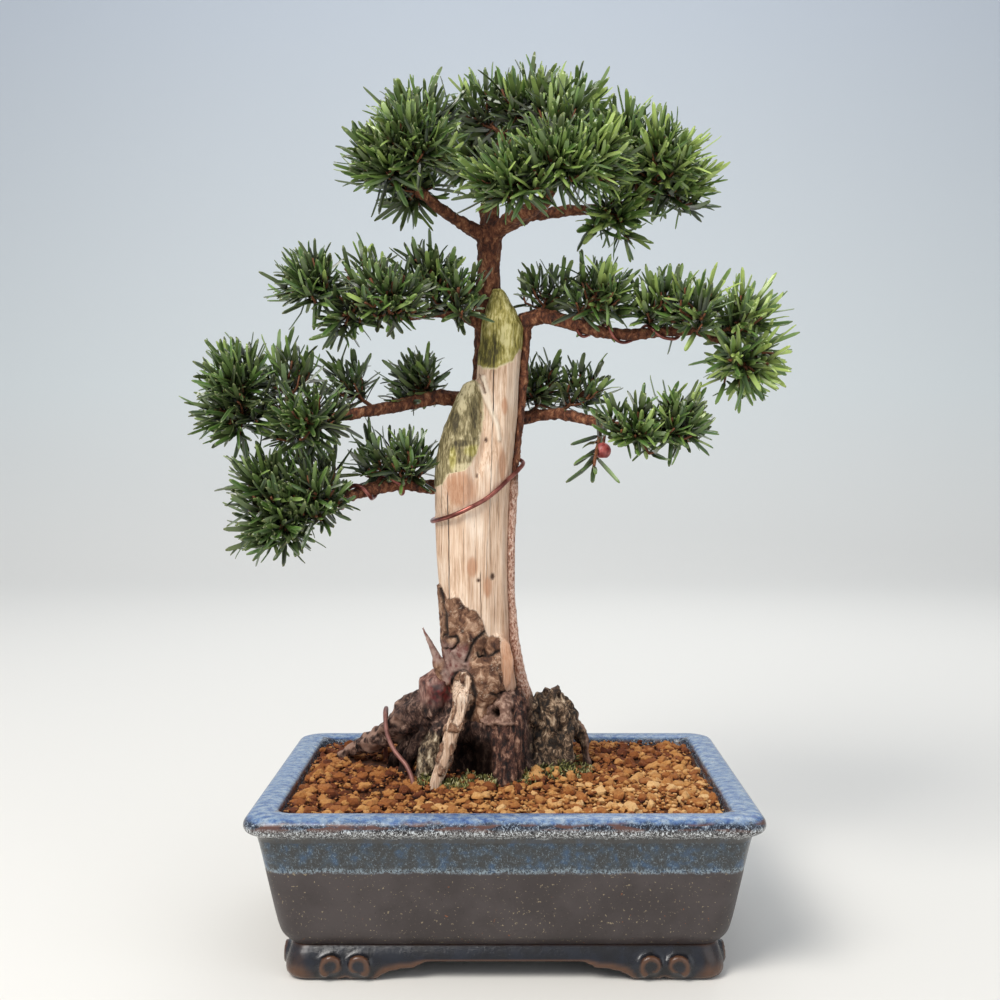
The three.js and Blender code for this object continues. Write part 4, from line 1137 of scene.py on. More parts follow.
def dead_relief(points, at):
    """How far out the dead wood's skin is moved, in millimetres."""
    _, y, z = points.T
    bare = 0.12 * noise(points, [1.3, 1.3, 30], 1) + 0.3 * noise(points, [6, 6, 60], 2)
    gouged = 0.45 * noise(points, [1.8, 1.8, 9], 12) + 0.3 * noise(points, [4, 4, 5], 13)
    bare = bare + 1.3 * at.strand + at.green * gouged
    plate = 1.1 + 0.5 * noise(points, [3, 3, 4.5], 10) + 0.3 * noise(points, 1.5, 11)
    plate = plate * (1 - 0.5 * at.smooth) - 1.5 * at.gap
    relief = (1 - at.barky) * bare + at.barky * plate - at.peg - 0.6 * at.splinter
    pits = (0.6 * in_ovals(points, KNOTS) + 0.9 * at.seam) * ease(y, 2, -1)
    return relief + 2 * at.peg_top * ease(z, 115, 122) - pits


def make_dead_wood():
    points, faces = even_skin(copy_of_node("dead_trunk"), DEAD_VOXEL)
    points = relaxed(points, edges_of(faces), 40)
    at = dead_areas(points)
    _, y, z = points.T
    seen = ease(y, 4, 0)
    points = points + normals_of(points, faces) * dead_relief(points, at)[:, None]
    made = piece(
        "dead_wood",
        points,
        faces,
        dead_look(),
        "dead_wood",
        bark=at.bark,
        algae=at.algae,
        gap=at.gap * at.barky,
        skin=at.smooth,
        strand=at.strand,
        knot=in_ovals(points, KNOTS) * seen,
        stain=in_ovals(points, STAINS_AND_SHADE) * seen,
        peg=at.peg * (0.35 + 0.65 * ease(z, 92, 108)),
        tone=0.5 - 0.5 * in_ovals(points, DARK_SCARS) + 0.5 * in_ovals(points, PALE_SCARS),
        fresh=in_ovals(points, FRESH_GREEN) * seen,
        seam=at.seam * seen,
    )
    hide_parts("dead_trunk")
    return points, faces


# Living wood


LIVING_VOXEL = 1.06
# Middle lines of the vein and the main roots, and middles of the burl, the stump and the cave
VEIN = [
    [15, 9, 102], [10.6, 6.5, 118], [6.4, 5, 138], [3.4, 4, 160], [2.6, 4, 190], [3, 4, 215],
    [4.4, 5, 240], [7.6, 6.5, 264], [9.6, 7, 290], [11, 7, 310], [12.6, 7, 318],
]
LEFT_LONG = [[-20, 7, 112], [-44, 8, 110], [-54, 11, 103], [-62, 17, 96], [-70, 24, 90], [-97, 41, 74]]
LEFT_FRONT = [[-36, -4, 94], [-42, -8, 82], [-45, -11, 64]]
MIDDLE_ROOT = [[2, -2, 118], [2, -8, 104], [1, -11, 90], [0, -13, 62]]
RIGHT_LONG = [[33, 20, 107], [41, 20, 97], [46, 21, 84], [48, 22, 62]]
BURL = [-37, -1, 126]
STUMP = [22, 14, 98]
CAVE = [-20, -16, 84]
KNOT_HOLE = [-4.2, 112.5]  # as [x, z]
# Thin roots under the long left one: radius at the top and at the foot, then points
UNDER_ROOTS = [
    (4.6, 2.6, [[-30, 5, 108], [-41, 3, 99], [-48, 2, 90], [-53, 0, 80], [-56, -2, 66]]),
    (4.2, 2.4, [[-36, 9, 106], [-46, 11, 98], [-54, 13, 89], [-60, 14, 79], [-64, 14, 66]]),
    (3.4, 2.2, [[-28, 2, 104], [-36, 0, 94], [-40, 0, 84], [-43, 1, 74], [-45, 1, 64]]),
]
FLAP_EDGE = [[-18, 114], [-15, 110.5], [-8.3, 105.5], [-3, 107.5], [2.5, 107]]  # as [x, z]
# The stump's broken peaks, as [x, y, how far the peak rises]
PEAKS = [[14.5, 12, 8], [21, 8, 3], [28, 14, 9], [32, 20, 5], [22, 24, 6]]
# Moss on the roots and the soil, as [x, y, z, reach]
MOSS_SPOTS = [
    [20, -3, 76, 9], [-13, -15, 76, 8], [32, -1, 78, 8], [-41, -16, 78, 5],
    [40, 10, 84, 6], [-26, -20, 74, 7], [9, -16, 74, 6],
]
MOSS_ON_WOOD = 1500
MOSS_ON_SOIL = 1300
BLADE_SHORT = 1.4
BLADE_LONG = 3.6


def near(points, spot, reach):
    """1 close to a spot, 0 beyond the reach."""
    away = np.linalg.norm(points - np.array(spot), axis=1)
    return ease(away, reach, reach * 0.6)


def stem_colour(look, flakes):
    stem = flakes.ramp((0.33, "#28110a"), (0.45, "#552c19"), (0.56, "#824e32"), (0.7, "#b98a64"))
    speck = look.noise([0.9, 0.9, 1.6], 3, 0.7)
    vein = speck.ramp((0.38, "#86543f"), (0.48, "#c79b85"), (0.58, "#e2c1ad"), (0.68, "#f3e2d4"))
    return stem.covered(vein, look["vein"])


def root_colour(look, flakes):
    root = flakes.ramp((0.36, "#0d0705"), (0.46, "#33201a"), (0.55, "#664a3e"), (0.66, "#ad907d"))
    red = flakes.ramp((0.37, "#0a0403"), (0.46, "#2e1710"), (0.54, "#5f3b2d"), (0.65, "#a8836c"))
    pale = flakes.ramp((0.38, "#140f0a"), (0.47, "#4f3e2d"), (0.56, "#99866b"), (0.66, "#dccdb0"))
    return root.covered(red, look["red"]).covered(pale, look["pale"])


def stump_colour(look):
    dark = [(0.38, "#0d0905"), (0.46, "#2c2014"), (0.52, "#5a4532")]
    return look.noise([3.4, 3.4, 5.5], 6, 0.7, 0.8).ramp(*dark, (0.58, "#94795f"), (0.66, "#d6c0a2"))


def living_look():
    look = Look("Scaly bark of stems and roots", rough=0.8)
    flakes = look.noise([2.6, 2.6, 5], 6, 0.68, 0.5)
    plate = look.noise([4, 4, 5], 5, 0.65, 0.8).ramp((0.36, "#3f271d"), (0.5, "#7d5c4c"), (0.66, "#c0a08c"))
    smooth = look.noise([2, 2, 5], 4).ramp((0.38, "#3f231c"), (0.5, "#73493d"), (0.64, "#a37f70"))
    red = look.noise(3, 4).ramp((0.4, "#2c0708"), (0.6, "#6a1618"))
    moss = look.noise(1.4, 4).ramp((0.3, "#161a0c"), (0.5, "#333b1a"), (0.7, "#6b6f42"))
    wood = stem_colour(look, flakes).covered(root_colour(look, flakes), look["low"])
    wood = wood.covered(stump_colour(look), look["stump"])
    wood = wood.covered(plate, look["plate"]).covered(smooth, look["burl"])
    wood = wood.covered(red, look["blood"]).covered("#b5917d", look["lit"])
    wood = wood.covered(moss, look["moss"])
    # Painted shade: near black, with less shine, in the hollows, the cave, the knot hole and under the thin
    # roots
    look.put("Base Color", wood.covered("#0f0907", look["hollow"]))
    look.put("Roughness", look["burl"] * -0.3 + 0.8)
    look.put("Specular IOR Level", look["hollow"] * -0.5 + 0.5)
    look.bump((flakes + look.noise(0.8, 3)) * (look["burl"] * -0.8 + 1), 0.7)
    return look.material


def raised_peaks(points):
    """The stump's broken top drawn up into uneven peaks."""
    x, y, z = points.T
    rise = np.zeros(len(points))
    for px, py, high in PEAKS:
        rise = np.maximum(rise, high * (1 - np.minimum(np.hypot(x - px, y - py) / 6.5, 1)))
    rise = rise - 2.5 * ease(np.hypot(x - 21, y - 18), 6, 2)
    lifted = points.copy()
    lifted[:, 2] += rise * ease(z, 98, 113) * ease(z, 150, 135) * ease(x, 10, 12)
    return lifted


def living_draft():
    """The living wood with the thin roots that lie under it."""
    parts = [arrays_of(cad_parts["living_wood"].data)]
    for top, foot, path in UNDER_ROOTS:
        line = points_along(smooth_line(path), 14)
        parts.append(tube(line, np.linspace(top, foot, 14)))
    return object_of("living_wood_draft", *merged(parts))


def living_areas(points):
    """Where each kind of bark lies on the living wood, from 0 to 1."""
    x, y, z = points.T
    at = SimpleNamespace(low=ease(z + 5 * noise(points, 8, 40), 146, 118))
    at.vein = on_path(points, VEIN, 5, 3.6) * ease(z, 108, 124)
    at.vein = at.vein * ease(z + 6 * noise(points, 5, 47), 238, 226)
    at.burl = near(points, BURL, 15) * ease(z, 110, 117)
    at.middle = on_path(points, MIDDLE_ROOT, 14, 11) * ease(x, -9, -6)
    at.stump = near(points, STUMP, 29) * ease(x, 11, 15)
    at.pale = on_path(points, LEFT_FRONT, 8.5, 7)
    at.thin = on_path(points, RIGHT_LONG, 7, 6) * ease(x, 38, 40)
    at.strands = on_path(points, LEFT_LONG, 11, 9) * ease(x, -52, -58) * ease(z, 74, 79)
    at.lit = 0.6 * at.thin * ease(x + 0.25 * z + 4 * noise(points, [2.5, 2.5, 5], 54), 66, 70)
    pink = at.strands * ease(noise(points, [5, 2.2, 2.2], 57), -0.1, 0.3)
    at.lit = np.maximum(at.lit, 0.7 * pink)
    above = z - np.interp(x, *np.array(FLAP_EDGE, float).T) + 0.9 * noise(points, 2.6, 48)
    at.plate = ease(above, -0.5, 0.5) * ease(z, 128, 124) * ease(y, 4, 0)
    at.plate = at.plate * ease(x, -19, -17) * ease(x + 1.5 * noise(points, 3, 49), 5, 3)
    at.flap_edge = at.plate * ease(above, 1.8, 0.7)
    at.cave = near(points, CAVE, 24) * ease(x, -4, -8) * ease(above, 0.5, -0.5)
    at.cave = at.cave * ease(from_path(points, LEFT_FRONT), 6, 8)
    at.hole = ease(np.hypot(x - KNOT_HOLE[0], z - KNOT_HOLE[1]), 3, 1.4) * ease(y, 2, -2)
    return at


def living_relief(points, at):
    """How far out the living wood's skin is moved, in millimetres."""
    scaly = 0.5 * noise(points, [1.9, 1.9, 4], 41) + 0.3 * noise(points, 1.3, 42)
    ropy = 1.5 * np.abs(noise(points, [9, 9, 7], 43)) + 0.9 * noise(points, [3.2, 3.2, 4], 44)
    fibrous = noise(points, [2, 2, 14], 45) - 0.3
    jagged = 1.4 * noise(points, [2.6, 2.6, 5], 46) + 0.7 * noise(points, 1.5, 52)
    knobby = 2.2 * np.abs(noise(points, [5, 5, 7], 59)) - 2.2
    smooth = np.maximum(at.burl, at.vein)
    rooty = ropy * (1 - at.middle) + 1.3 * at.middle * fibrous
    relief = scaly * (1 - 0.8 * smooth) + at.low * (1 - smooth) * rooty
    relief = relief + at.stump * jagged + 0.7 * at.vein
    relief = relief + 1.6 * at.plate + 0.8 * at.flap_edge - 2.5 * at.hole - 1.2 * at.thin
    return relief + at.pale * knobby * ease(points[:, 2], 104, 98) - 0.9 * at.strands


def living_shade(points, out, x, z, at):
    """Painted shade: how dark the hollows are made, from how far each point stands out and where it lies."""
    seam = 3 * at.vein * (1 - at.vein) * ease(x, 12, 8)
    under = np.max([on_path(points, path, 6, 4) for _, _, path in UNDER_ROOTS], axis=0)
    under = under * ease(z, 107, 98) * (0.74 + 0.3 * noise(points, 4, 58))
    dark = np.maximum.reduce([ease(-out, 0.3, 1.2) * 0.85, 0.93 * at.cave, at.hole, seam, under])
    return dark * (1 - 0.8 * at.vein)


def make_living_wood():
    points, faces = even_skin(living_draft(), LIVING_VOXEL)
    edges = edges_of(faces)
    points = raised_peaks(relaxed(points, edges, 14))
    normals = normals_of(points, faces)
    at = living_areas(points)
    x, _, z = points.T
    points = points + normals * living_relief(points, at)[:, None]
    out = standing_out(points, edges, normals, 8)
    moss = np.max([near(points, spot[:3], spot[3]) for spot in MOSS_SPOTS], axis=0)
    moss = ease(moss + 0.45 * noise(points, 2.6, 50) * moss, 0.4, 0.6)
    low_burl = ease(z + 3 * noise(points, 4, 55), 130, 124) * ease(x + noise(points, 3, 56), -41, -37)
    made = piece(
        "living_bark",
        points,
        faces,
        living_look(),
        "bark",
        low=at.low * (1 - 0.9 * at.vein),
        vein=at.vein,
        stump=at.stump * (1 - at.middle),
        red=np.maximum(at.middle, near(points, [26, 4, 94], 7)),
        pale=np.maximum(at.pale, 0.7 * at.stump * ease(noise(points, 5, 53), 0.35, 0.5)),
        plate=at.plate,
        burl=at.burl,
        blood=0.9 * at.burl * low_burl,
        lit=np.maximum(at.lit, 0.8 * at.flap_edge),
        moss=moss,
        hollow=living_shade(points, out, x, z, at),
    )
    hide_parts("living_wood")
    make_moss(points, normals, moss)
    return points, faces


def moss_beside():
    """Places on the soil round the spots of moss."""
    bed = tree_of_node("soil")
    found = []
    for k in range(MOSS_ON_SOIL):
        x, y, _, reach = MOSS_SPOTS[k % len(MOSS_SPOTS)]
        x += (draw(k, 61) - 0.5) * 2.2 * reach
        y += (draw(k, 62) - 0.5) * 2.2 * reach
        top = top_of(bed, x, y)
        if top is not None:
            found.append([x, y, top + BLADE_SHORT])
    return found


def make_moss(points, normals, moss):
    """Short blades of moss on the mossy wood and on the soil beside it."""
    grown = np.flatnonzero((moss > 0.5) & (points[:, 2] > 70))
    chosen = grown[draw(grown, 60).argsort()[:MOSS_ON_WOOD]]
    beside = moss_beside()
    rooted = np.concatenate([points[chosen], beside])
    away = np.concatenate([normals[chosen], np.tile(UP, (len(beside), 1))])
    k = np.arange(len(rooted))
    lean = np.stack([draw(k, n) - 0.5 for n in (63, 64, 65)], axis=1)
    way = unit(0.6 * away + 0.5 * UP + 1.1 * lean)
    upper = unit(np.cross(way, lean + 0.01))
    length = BLADE_SHORT + (BLADE_LONG - BLADE_SHORT) * draw(k, 66)
    width = 0.7 + 0.3 * draw(k, 69)
    bend = 0.5 * (draw(k, 68) - 0.5)
    tint = 0.1 + 0.8 * draw(k, 67)
    rows = np.column_stack([rooted - 0.3 * away, way, upper, length, width, bend, bend, tint])
    blades, faces, attributes = needle_mesh(rows)
    piece("moss", blades, faces, moss_look(), "foliage", **attributes)


def moss_look():
    look = Look("Moss", rough=0.6)
    green = look["tint"].ramp((0.1, "#201f0a"), (0.4, "#4e4f1c"), (0.65, "#8f8c46"), (0.9, "#d2ca98"))
    look.put("Base Color", green.covered("#171a0a", look["tip"].between(0.5, 0.0) * 0.6))
    return look.material


# Needles


GOLDEN_ANGLE = 2.39996


def shoot_at(start, bend, at, along, gaps):
    """A shoot: its twig's start, bend and end, and the direction and length of its leafy stem."""
    return {"from": start, "bend": bend, "at": at, "along": unit(along), "length": gaps * CORE_STEP}


def shoots_of(branch, head, index):
    """The shoots of one spray, each with its twig, from the branch to the spray's head."""
    goal = np.array(head[:3], float)
    places = evenly(points_along(smooth_line(BRANCHES[branch]["points"]), 201), 81)
    away = np.linalg.norm(places - goal, axis=1)
    nearest = int(away.argmin())
    rooted = places[min(max(nearest - round(away[nearest] * 0.3), 8), 78)]
    rise = goal - rooted
    reach = np.linalg.norm(rise)
    bend = rooted + rise * 0.5 - UP * 0.1 * reach
    lift = 0.45 if goal[2] > rooted[2] - 4 else -0.1
    along = unit(unit(rise) + UP * lift)
    top = goal - along * CORE_STEP
    if head[3] == 1:
        return [shoot_at(rooted, bend, top, along, 3)]
    apart = np.cross(along, UP)
    if np.linalg.norm(apart) < 0.5:
        apart = np.array([1.0, 0, 0])
    apart = unit(apart) * (-1 if draw(index * 7 + len(branch), 5) < 0.5 else 1)
    fork = 0.25 * rooted + 0.5 * bend + 0.25 * top
    second = top - along * 6 + apart * 10
    middle = fork + (second - fork) * 0.6 - along * 0.12 * reach
    return [
        shoot_at(rooted, bend, top, along - apart * 0.35, 2),
        shoot_at(fork, middle, second, along + apart * 0.8, 2),
    ]


def bent(shoot, share):
    """A point of the shoot's twig."""
    a, b, c = shoot["from"], shoot["bend"], shoot["at"]
    return (1 - share) ** 2 * a + 2 * share * (1 - share) * b + share**2 * c


def across_of(along):
    """Two directions square to the first and to each other."""
    guide = np.array([1.0, 0, 0]) if abs(along[2]) > 0.9 else UP
    side = unit(guide - along * along.dot(guide))
    return side, np.cross(along, side)


def side_shoots(shoot, seed):
    """Smaller shoots that leave the upper part of the shoot's twig."""
    side, lift = across_of(shoot["along"])
    found = []
    for k in range(SIDE_SHOOTS):
        angle = 2.4 * k + TURN * draw(seed, k + 20) * 0.2
        out = side * math.cos(angle) + lift * math.sin(angle)
        share = SIDE_FIRST - SIDE_SPACING * k
        at = bent(shoot, share) + out * (SIDE_NEAR + (SIDE_FAR - SIDE_NEAR) * draw(seed, k + 30))
        along = unit(shoot["along"] + out * (0.3 + 0.6 * draw(seed, k + 25)) + UP * 0.3)
        start = bent(shoot, share - SIDE_STALK)
        found.append(shoot_at(start, (start + at) / 2 - UP, at, along, 2))
    return found


def leafy_line(shoot, back):
    """Points up the leafy stretch of a shoot: the last of its twig, then its stem."""
    reach = np.linalg.norm(shoot["at"] - shoot["from"])
    first = max(1 - back / reach, 0.15)
    twig = [bent(shoot, t) for t in np.linspace(first, 1, 6)]
    stem = [shoot["at"] + shoot["along"] * shoot["length"] * t for t in (0.35, 0.7, 1)]
    return evenly(np.array([*twig, *stem]), 16)


def needle_rows(line, count, seed, short):
    """For each needle on a leafy line: root, way, upper side, length, width, bends and tint."""
    k = np.arange(count)
    high = (k + 0.5) / count
    place = high * (len(line) - 1)
    along, side, lift = frames_along(line)
    spots, along, side, lift = (
        np.stack([np.interp(place, np.arange(len(line)), row[:, n]) for n in range(3)], axis=1)
        for row in (line, along, side, lift)
    )
    angle = (k * GOLDEN_ANGLE + seed * 1.7 + (draw(seed + k * 0.37, 1) - 0.5) * 1.0)[:, None]
    out = np.cos(angle) * side + np.sin(angle) * lift
    opening = (1.3 - 0.95 * high**1.5 + (draw(seed + k * 0.71, 2) - 0.5) * 0.7)[:, None]
    way = unit(np.cos(opening) * along + np.sin(opening) * out + 0.1 * UP)
    way = unit(way - UP * np.minimum(way[:, 2:], 0) * 0.4)
    facing = along + 0.35 * UP
    upper = unit(facing - way * np.sum(way * facing, axis=1, keepdims=True) + out * 1e-3)
    length = NEEDLE_SHORT + (NEEDLE_LONG - NEEDLE_SHORT) * draw(seed + k * 0.53, 3) ** 1.4
    far = np.maximum(ease(np.abs(spots[:, 0]), 60, 120), ease(spots[:, 2], 330, 380))
    length = length * short * (1 - 0.25 * ease(high, 0.75, 1)) * (0.78 + 0.22 * far)
    width = NEEDLE_WIDTH * (0.82 + 0.34 * draw(seed + k * 0.91, 4))
    curl = 0.85 * (draw(seed + k * 1.13, 5) - 0.42)
    sway = 0.3 * (draw(seed + k * 1.31, 8) - 0.5)
    # Young shoots are lighter; lower sprays get less of it, as painted shade on them
    youth_and_shade = draw(seed, 6) ** 1.3 * (0.5 + 0.5 * ease(spots[:, 2], 260, 400))
    # Painted light: needles paler towards the right, where the sprays are lit more brightly
    outer = 0.14 * ease(spots[:, 0], 25, 60) + 0.24 * ease(spots[:, 0], 75, 115)
    tint = np.clip(0.5 * youth_and_shade + outer + 0.26 * high + 0.7 * (draw(seed + k, 7) - 0.42), 0, 1)
    return np.column_stack([spots + out * 0.9, way, upper, length, width, curl, sway, tint])


# Along a needle: the share of its length and the share of its width
STATIONS = np.array([[0, 0.4], [0.12, 0.88], [0.5, 1], [0.9, 0.8], [1, 0.32]])
RING = 3  # corners of a needle's section: margin, rib, margin


def needle_mesh(rows):
    """The points, faces and attributes of needles, one for each row of needle_rows."""
    root, way, upper = rows[:, None, 0:3], rows[:, None, 3:6], rows[:, None, 6:9]
    length, width, curl, sway, tint = (rows[:, k][:, None, None] for k in range(9, 14))
    across = np.cross(way, upper)
    t = STATIONS[:, 0][None, :, None]
    share = STATIONS[:, 1][None, :, None]
    middle = root + length * (way * t + (upper * curl + across * sway) * t * t)
    half = across * width * share / 2
    rib = upper * width * NEEDLE_RIB * (0.35 + 0.65 * share)
    ring = np.stack([middle + half, middle + rib, middle - half], axis=2)
    count, stations = ring.shape[:2]
    each = stations * RING
    tips = np.array([[2, 1, 0], [each - 3, each - 2, each - 1]])
    first = np.arange(count)[:, None, None] * each
    blocks = (tips, grid_faces(stations, RING))
    faces = [(block[None] + first).reshape(-1, block.shape[1]) for block in blocks]
    everywhere = np.ones((count, stations, RING))
    attributes = {
        "tint": (everywhere * tint).ravel(),
        "tip": (everywhere * t).ravel(),
        "edge": (everywhere * [1, 0, 1]).ravel(),
    }
    return ring.reshape(-1, 3), faces, attributes


def crease(mesh):
    """Sharp edges along the ribs and margins of the needles."""
    ends = read(mesh.edges, "vertices", 2).reshape(-1, 2)
    lengthwise = np.abs(np.diff(ends, axis=1)[:, 0]) == RING
    sharp = mesh.attributes.new("sharp_edge", "BOOLEAN", "EDGE")
    sharp.data.foreach_set("value", lengthwise)


def needle_look():
    look = Look("Yew needles", rough=0.34)
    look.put("Coat Weight", 0.4)
    look.put("Coat Roughness", 0.25)
    tip = look["tip"]
    green = look["tint"].ramp((0.0, "#091304"), (0.3, "#1b330f"), (0.6, "#446a24"), (1.0, "#adc366"))
    # Paler margins: the needles' own lighter edge colour, with a painted highlight on top
    green = green.covered("#9aae6c", look["edge"] * 0.3)
    # Painted shade: needles darken towards their bases, deep inside the sprays
    green = green.covered("#080e03", tip.between(0.75, 0.0) * 0.9)
    look.put("Base Color", green.covered("#a3a35a", tip.between(0.9, 1.0) * 0.25))
    return look.material


def twig_look():
    look = Look("Young bark", rough=0.75)
    look.put("Base Color", look.noise(2, 3).ramp((0.3, "#55301d"), (0.7, "#86522f")))
    return look.material


LEAFY_BACK = 18  # how far the needles of a shoot go back along its twig
SIDE_BACK = 9
SIDE_SHOOTS = 8
SIDE_NEAR = 5  # how far a side shoot stands off its twig, from and to
SIDE_FAR = 11
SIDE_FIRST = 0.98  # where the first one stands along the twig, as a share of it
SIDE_SPACING = 0.07
SIDE_STALK = 0.17  # how far back along the twig its own stalk starts
SIDE_TWIG = 0.7  # its radius, as a share of the twig's
MAIN_NEEDLES = 34
SIDE_NEEDLES = 13
LOOSE = 0.68  # the share of those needles that the sprays below the crown have
MAIN_SHORT = 0.95  # needles of a main shoot, as a share of the full length
SIDE_SHORT = 0.8


def twig_of(shoot, radius, sides):
    """A shoot's twig and stem as one tapering tube."""
    line = [bent(shoot, t) for t in np.linspace(0, 1, 7)]
    line.append(shoot["at"] + shoot["along"] * shoot["length"])
    return tube(np.array(line), np.linspace(1, 0.75, 8) * radius, sides)


def hides_berry(points):
    """Which points stand between the berry and the camera."""
    way = unit(np.array(CAMERA_PLACE) - BERRY_PLACE)
    off = points - BERRY_PLACE
    ahead = off @ way
    aside = np.linalg.norm(off - ahead[..., None] * way, axis=-1)
    return (ahead > -BERRY_RADIUS) & (aside < BERRY_RADIUS + 2.6)


def spray_of(branch, index, head, share):
    """The needle rows and the twigs of one spray, with that share of its needles."""
    rows, twigs = [], []
    for n, shoot in enumerate(shoots_of(branch, head, index)):
        seed = index * 7 + len(branch) * 3.3 + n * 41 + BRANCHES[branch]["points"][0][2] * 0.17
        line = leafy_line(shoot, LEAFY_BACK)
        rows.append(needle_rows(line, round(MAIN_NEEDLES * share), seed, MAIN_SHORT))
        twigs.append(twig_of(shoot, TWIG_RADIUS, 6))
        for m, small in enumerate(side_shoots(shoot, seed)):
            line = leafy_line(small, SIDE_BACK)
            if hides_berry(line).any():
                continue
            side_seed = seed + 3.1 * m + 100
            rows.append(needle_rows(line, round(SIDE_NEEDLES * share), side_seed, SIDE_SHORT))
            twigs.append(twig_of(small, TWIG_RADIUS * SIDE_TWIG, 4))
    return rows, twigs


def make_foliage():
    look = needle_look()
    twigs = []
    for branch, about in BRANCHES.items():
        share = 1 if branch.startswith("crown") else LOOSE
        sprays = [spray_of(branch, k, head, share) for k, head in enumerate(about["heads"], 1)]
        twigs += [twig for _, some in sprays for twig in some]
        rows = np.concatenate([row for some, _ in sprays for row in some])
        along = [rows[:, 0:3] + rows[:, 3:6] * rows[:, 9:10] * part for part in (0.3, 0.65, 1)]
        rows = rows[~hides_berry(np.stack(along, axis=1)).any(axis=1)]
        points, faces, attributes = needle_mesh(rows)
        made = piece(branch + "_needles", points, faces, look, "foliage", **attributes)
        crease(made.data)
        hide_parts(*[f"{branch}_spray_{k}" for k in range(1, len(sprays) + 1)])
    piece("twigs", *merged(twigs), twig_look(), "bark")


# Wires


ANCHOR = [
    [-66, 38, 62], [-66, 35, 86], [-65, 28, 102], [-64, 18, 108.5], [-63.5, 7, 107.5],
    [-61.5, -2, 99], [-57, -9, 92], [-50, -15, 85], [-46.5, -20, 77], [-46, -21, 62],
]
# Round the trunk: angle in degrees from +X, height
TRUNK_TURN = [
    [118, 234], [96, 239], [72, 243], [48, 245], [22, 244], [0, 241],
    [-22, 237], [-42, 232], [-62, 227], [-82, 222], [-102, 218], [-122, 214],
    [-142, 211.5], [-162, 210], [180, 210.5], [158, 212], [138, 213], [118, 212],
]
TRUNK_AXIS = [-13, 9]
TRUNK_CLEAR = 0.1  # between a wire and the wood
BRANCH_CLEAR = 0.2
STEPS_PER_TURN = 9


def wire_look(name, dark, pale, rough, metal):
    look = Look(name, rough, metal)
    look.put("Base Color", look.noise(5, 3).ramp((0.35, dark), (0.65, pale)))
    return look.material


def reach_of(wood, start, way, limit):
    """How far the wood reaches from a point in a direction."""
    far = start + way * limit
    hit = wood.ray_cast(Vector(far), Vector(-way), limit)
    return limit - hit[3] if hit[0] is not None else 0


FAN_ASIDE = 0.16  # how far the fan opens to each side, as a share
FAN_ALONG = 1.6  # how far it goes along the wood


def fan_reach(wood, start, way, along, limit):
    """The farthest that the wood reaches in a small fan of directions."""
    across = unit(np.cross(along, way))
    return max(
        reach_of(wood, start + along * v * FAN_ALONG, unit(way + across * u * FAN_ASIDE), limit)
        for u in (-1, 0, 1)
        for v in (-1, 0, 1)
    )


def winding_of(wood, name, share, turns, phase, radius):
    """Points wound round a branch between two shares of its length."""
    count = round(turns * STEPS_PER_TURN)
    line = points_along(smooth_line(BRANCHES[name]["points"]), 61)
    along, side, lift = frames_along(line)
    found = []
    for k in range(count + 1):
        n = round((share[0] + (share[1] - share[0]) * k / count) * 60)
        angle = phase + TURN * k / STEPS_PER_TURN
        out = side[n] * math.cos(angle) + lift[n] * math.sin(angle)
        off = fan_reach(wood, line[n], out, along[n], 7) + radius + BRANCH_CLEAR
        found.append(line[n] + out * off)
    return np.array(found)


def trunk_turn(wood):
    """Points of the wire that goes once round the trunk."""
    found = []
    for degrees, z in TRUNK_TURN:
        angle = math.radians(degrees)
        out = np.array([math.cos(angle), math.sin(angle), 0])
        middle = np.array([*TRUNK_AXIS, z], float)
        off = fan_reach(wood, middle, out, UP, 45) + TRUNK_WIRE + TRUNK_CLEAR
        found.append(middle + out * off)
    return np.array(found)


def make_wires(points, faces):
    """The wires, laid on the finished wood."""
    wood = search_tree(points, faces)
    copper = wire_look("Copper-brown wire", "#6a3833", "#a4655a", 0.3, 0.75)
    dull = wire_look("Dull copper wire", "#6d443d", "#95665b", 0.5, 0.25)
    lower = winding_of(wood, "lower_left", [0.3, 0.84], 3.1, 2.4, TRUNK_WIRE)
    upper = winding_of(wood, "upper_right", [0.28, 0.72], 2.6, 2.2, BRANCH_WIRE)
    for name, path, radius, look in (
        ("trunk_wire", trunk_turn(wood), TRUNK_WIRE, copper),
        ("lower_left_wire", lower, TRUNK_WIRE, copper),
        ("upper_right_wire", upper, BRANCH_WIRE, copper),
        ("anchor_wire", ANCHOR, TRUNK_WIRE, dull),
    ):
        line = evenly(points_along(smooth_line(path), 400), 160)
        made = piece("round_" + name, *tube(line, radius, 12), look, "wire")
        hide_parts(name)


# Berry and drain screens


BERRY_STALK = [[53, -1, 260], [51.5, -6, 254], [50.6, -8, 248]]


def make_berry():
    look = Look("Dusky red aril", rough=0.42)
    flesh = look.noise(2.5, 3).ramp((0.35, "#7c2b2c"), (0.65, "#bb615c"))
    look.put("Base Color", flesh.covered("#4a4a24", look["seed"]))
    ball, triangles = icosphere(4)
    opening = ease(-ball[:, 2], 0.86, 0.98)
    points = ball * (BERRY_RADIUS * (1 - 0.24 * opening))[:, None] + BERRY_PLACE
    made = piece("aril", points, [triangles], look.material, "berry", seed=opening)
    stalk = points_along(smooth_line(BERRY_STALK), 20)
    piece("berry_stalk", *tube(stalk, 0.8, 8), bpy.data.materials["Young bark"], "bark")
    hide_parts("berry")


def bar(x, y, z, half_x, half_y, half_z):
    """A bar round its middle."""
    corners = np.array([[-1, -1], [1, -1], [1, 1], [-1, 1]])
    rings = [
        [[x + half_x * cx, y + half_y * cy, z + half_z * cz] for cx, cy in corners]
        for cz in (-1, 1)
    ]
    return skin(rings)


SCREEN_BARS = 11
OUTER_BAR = 0.48  # how far the outer bars lie from the middle, as a share of the side
BAR_HALF = 0.45


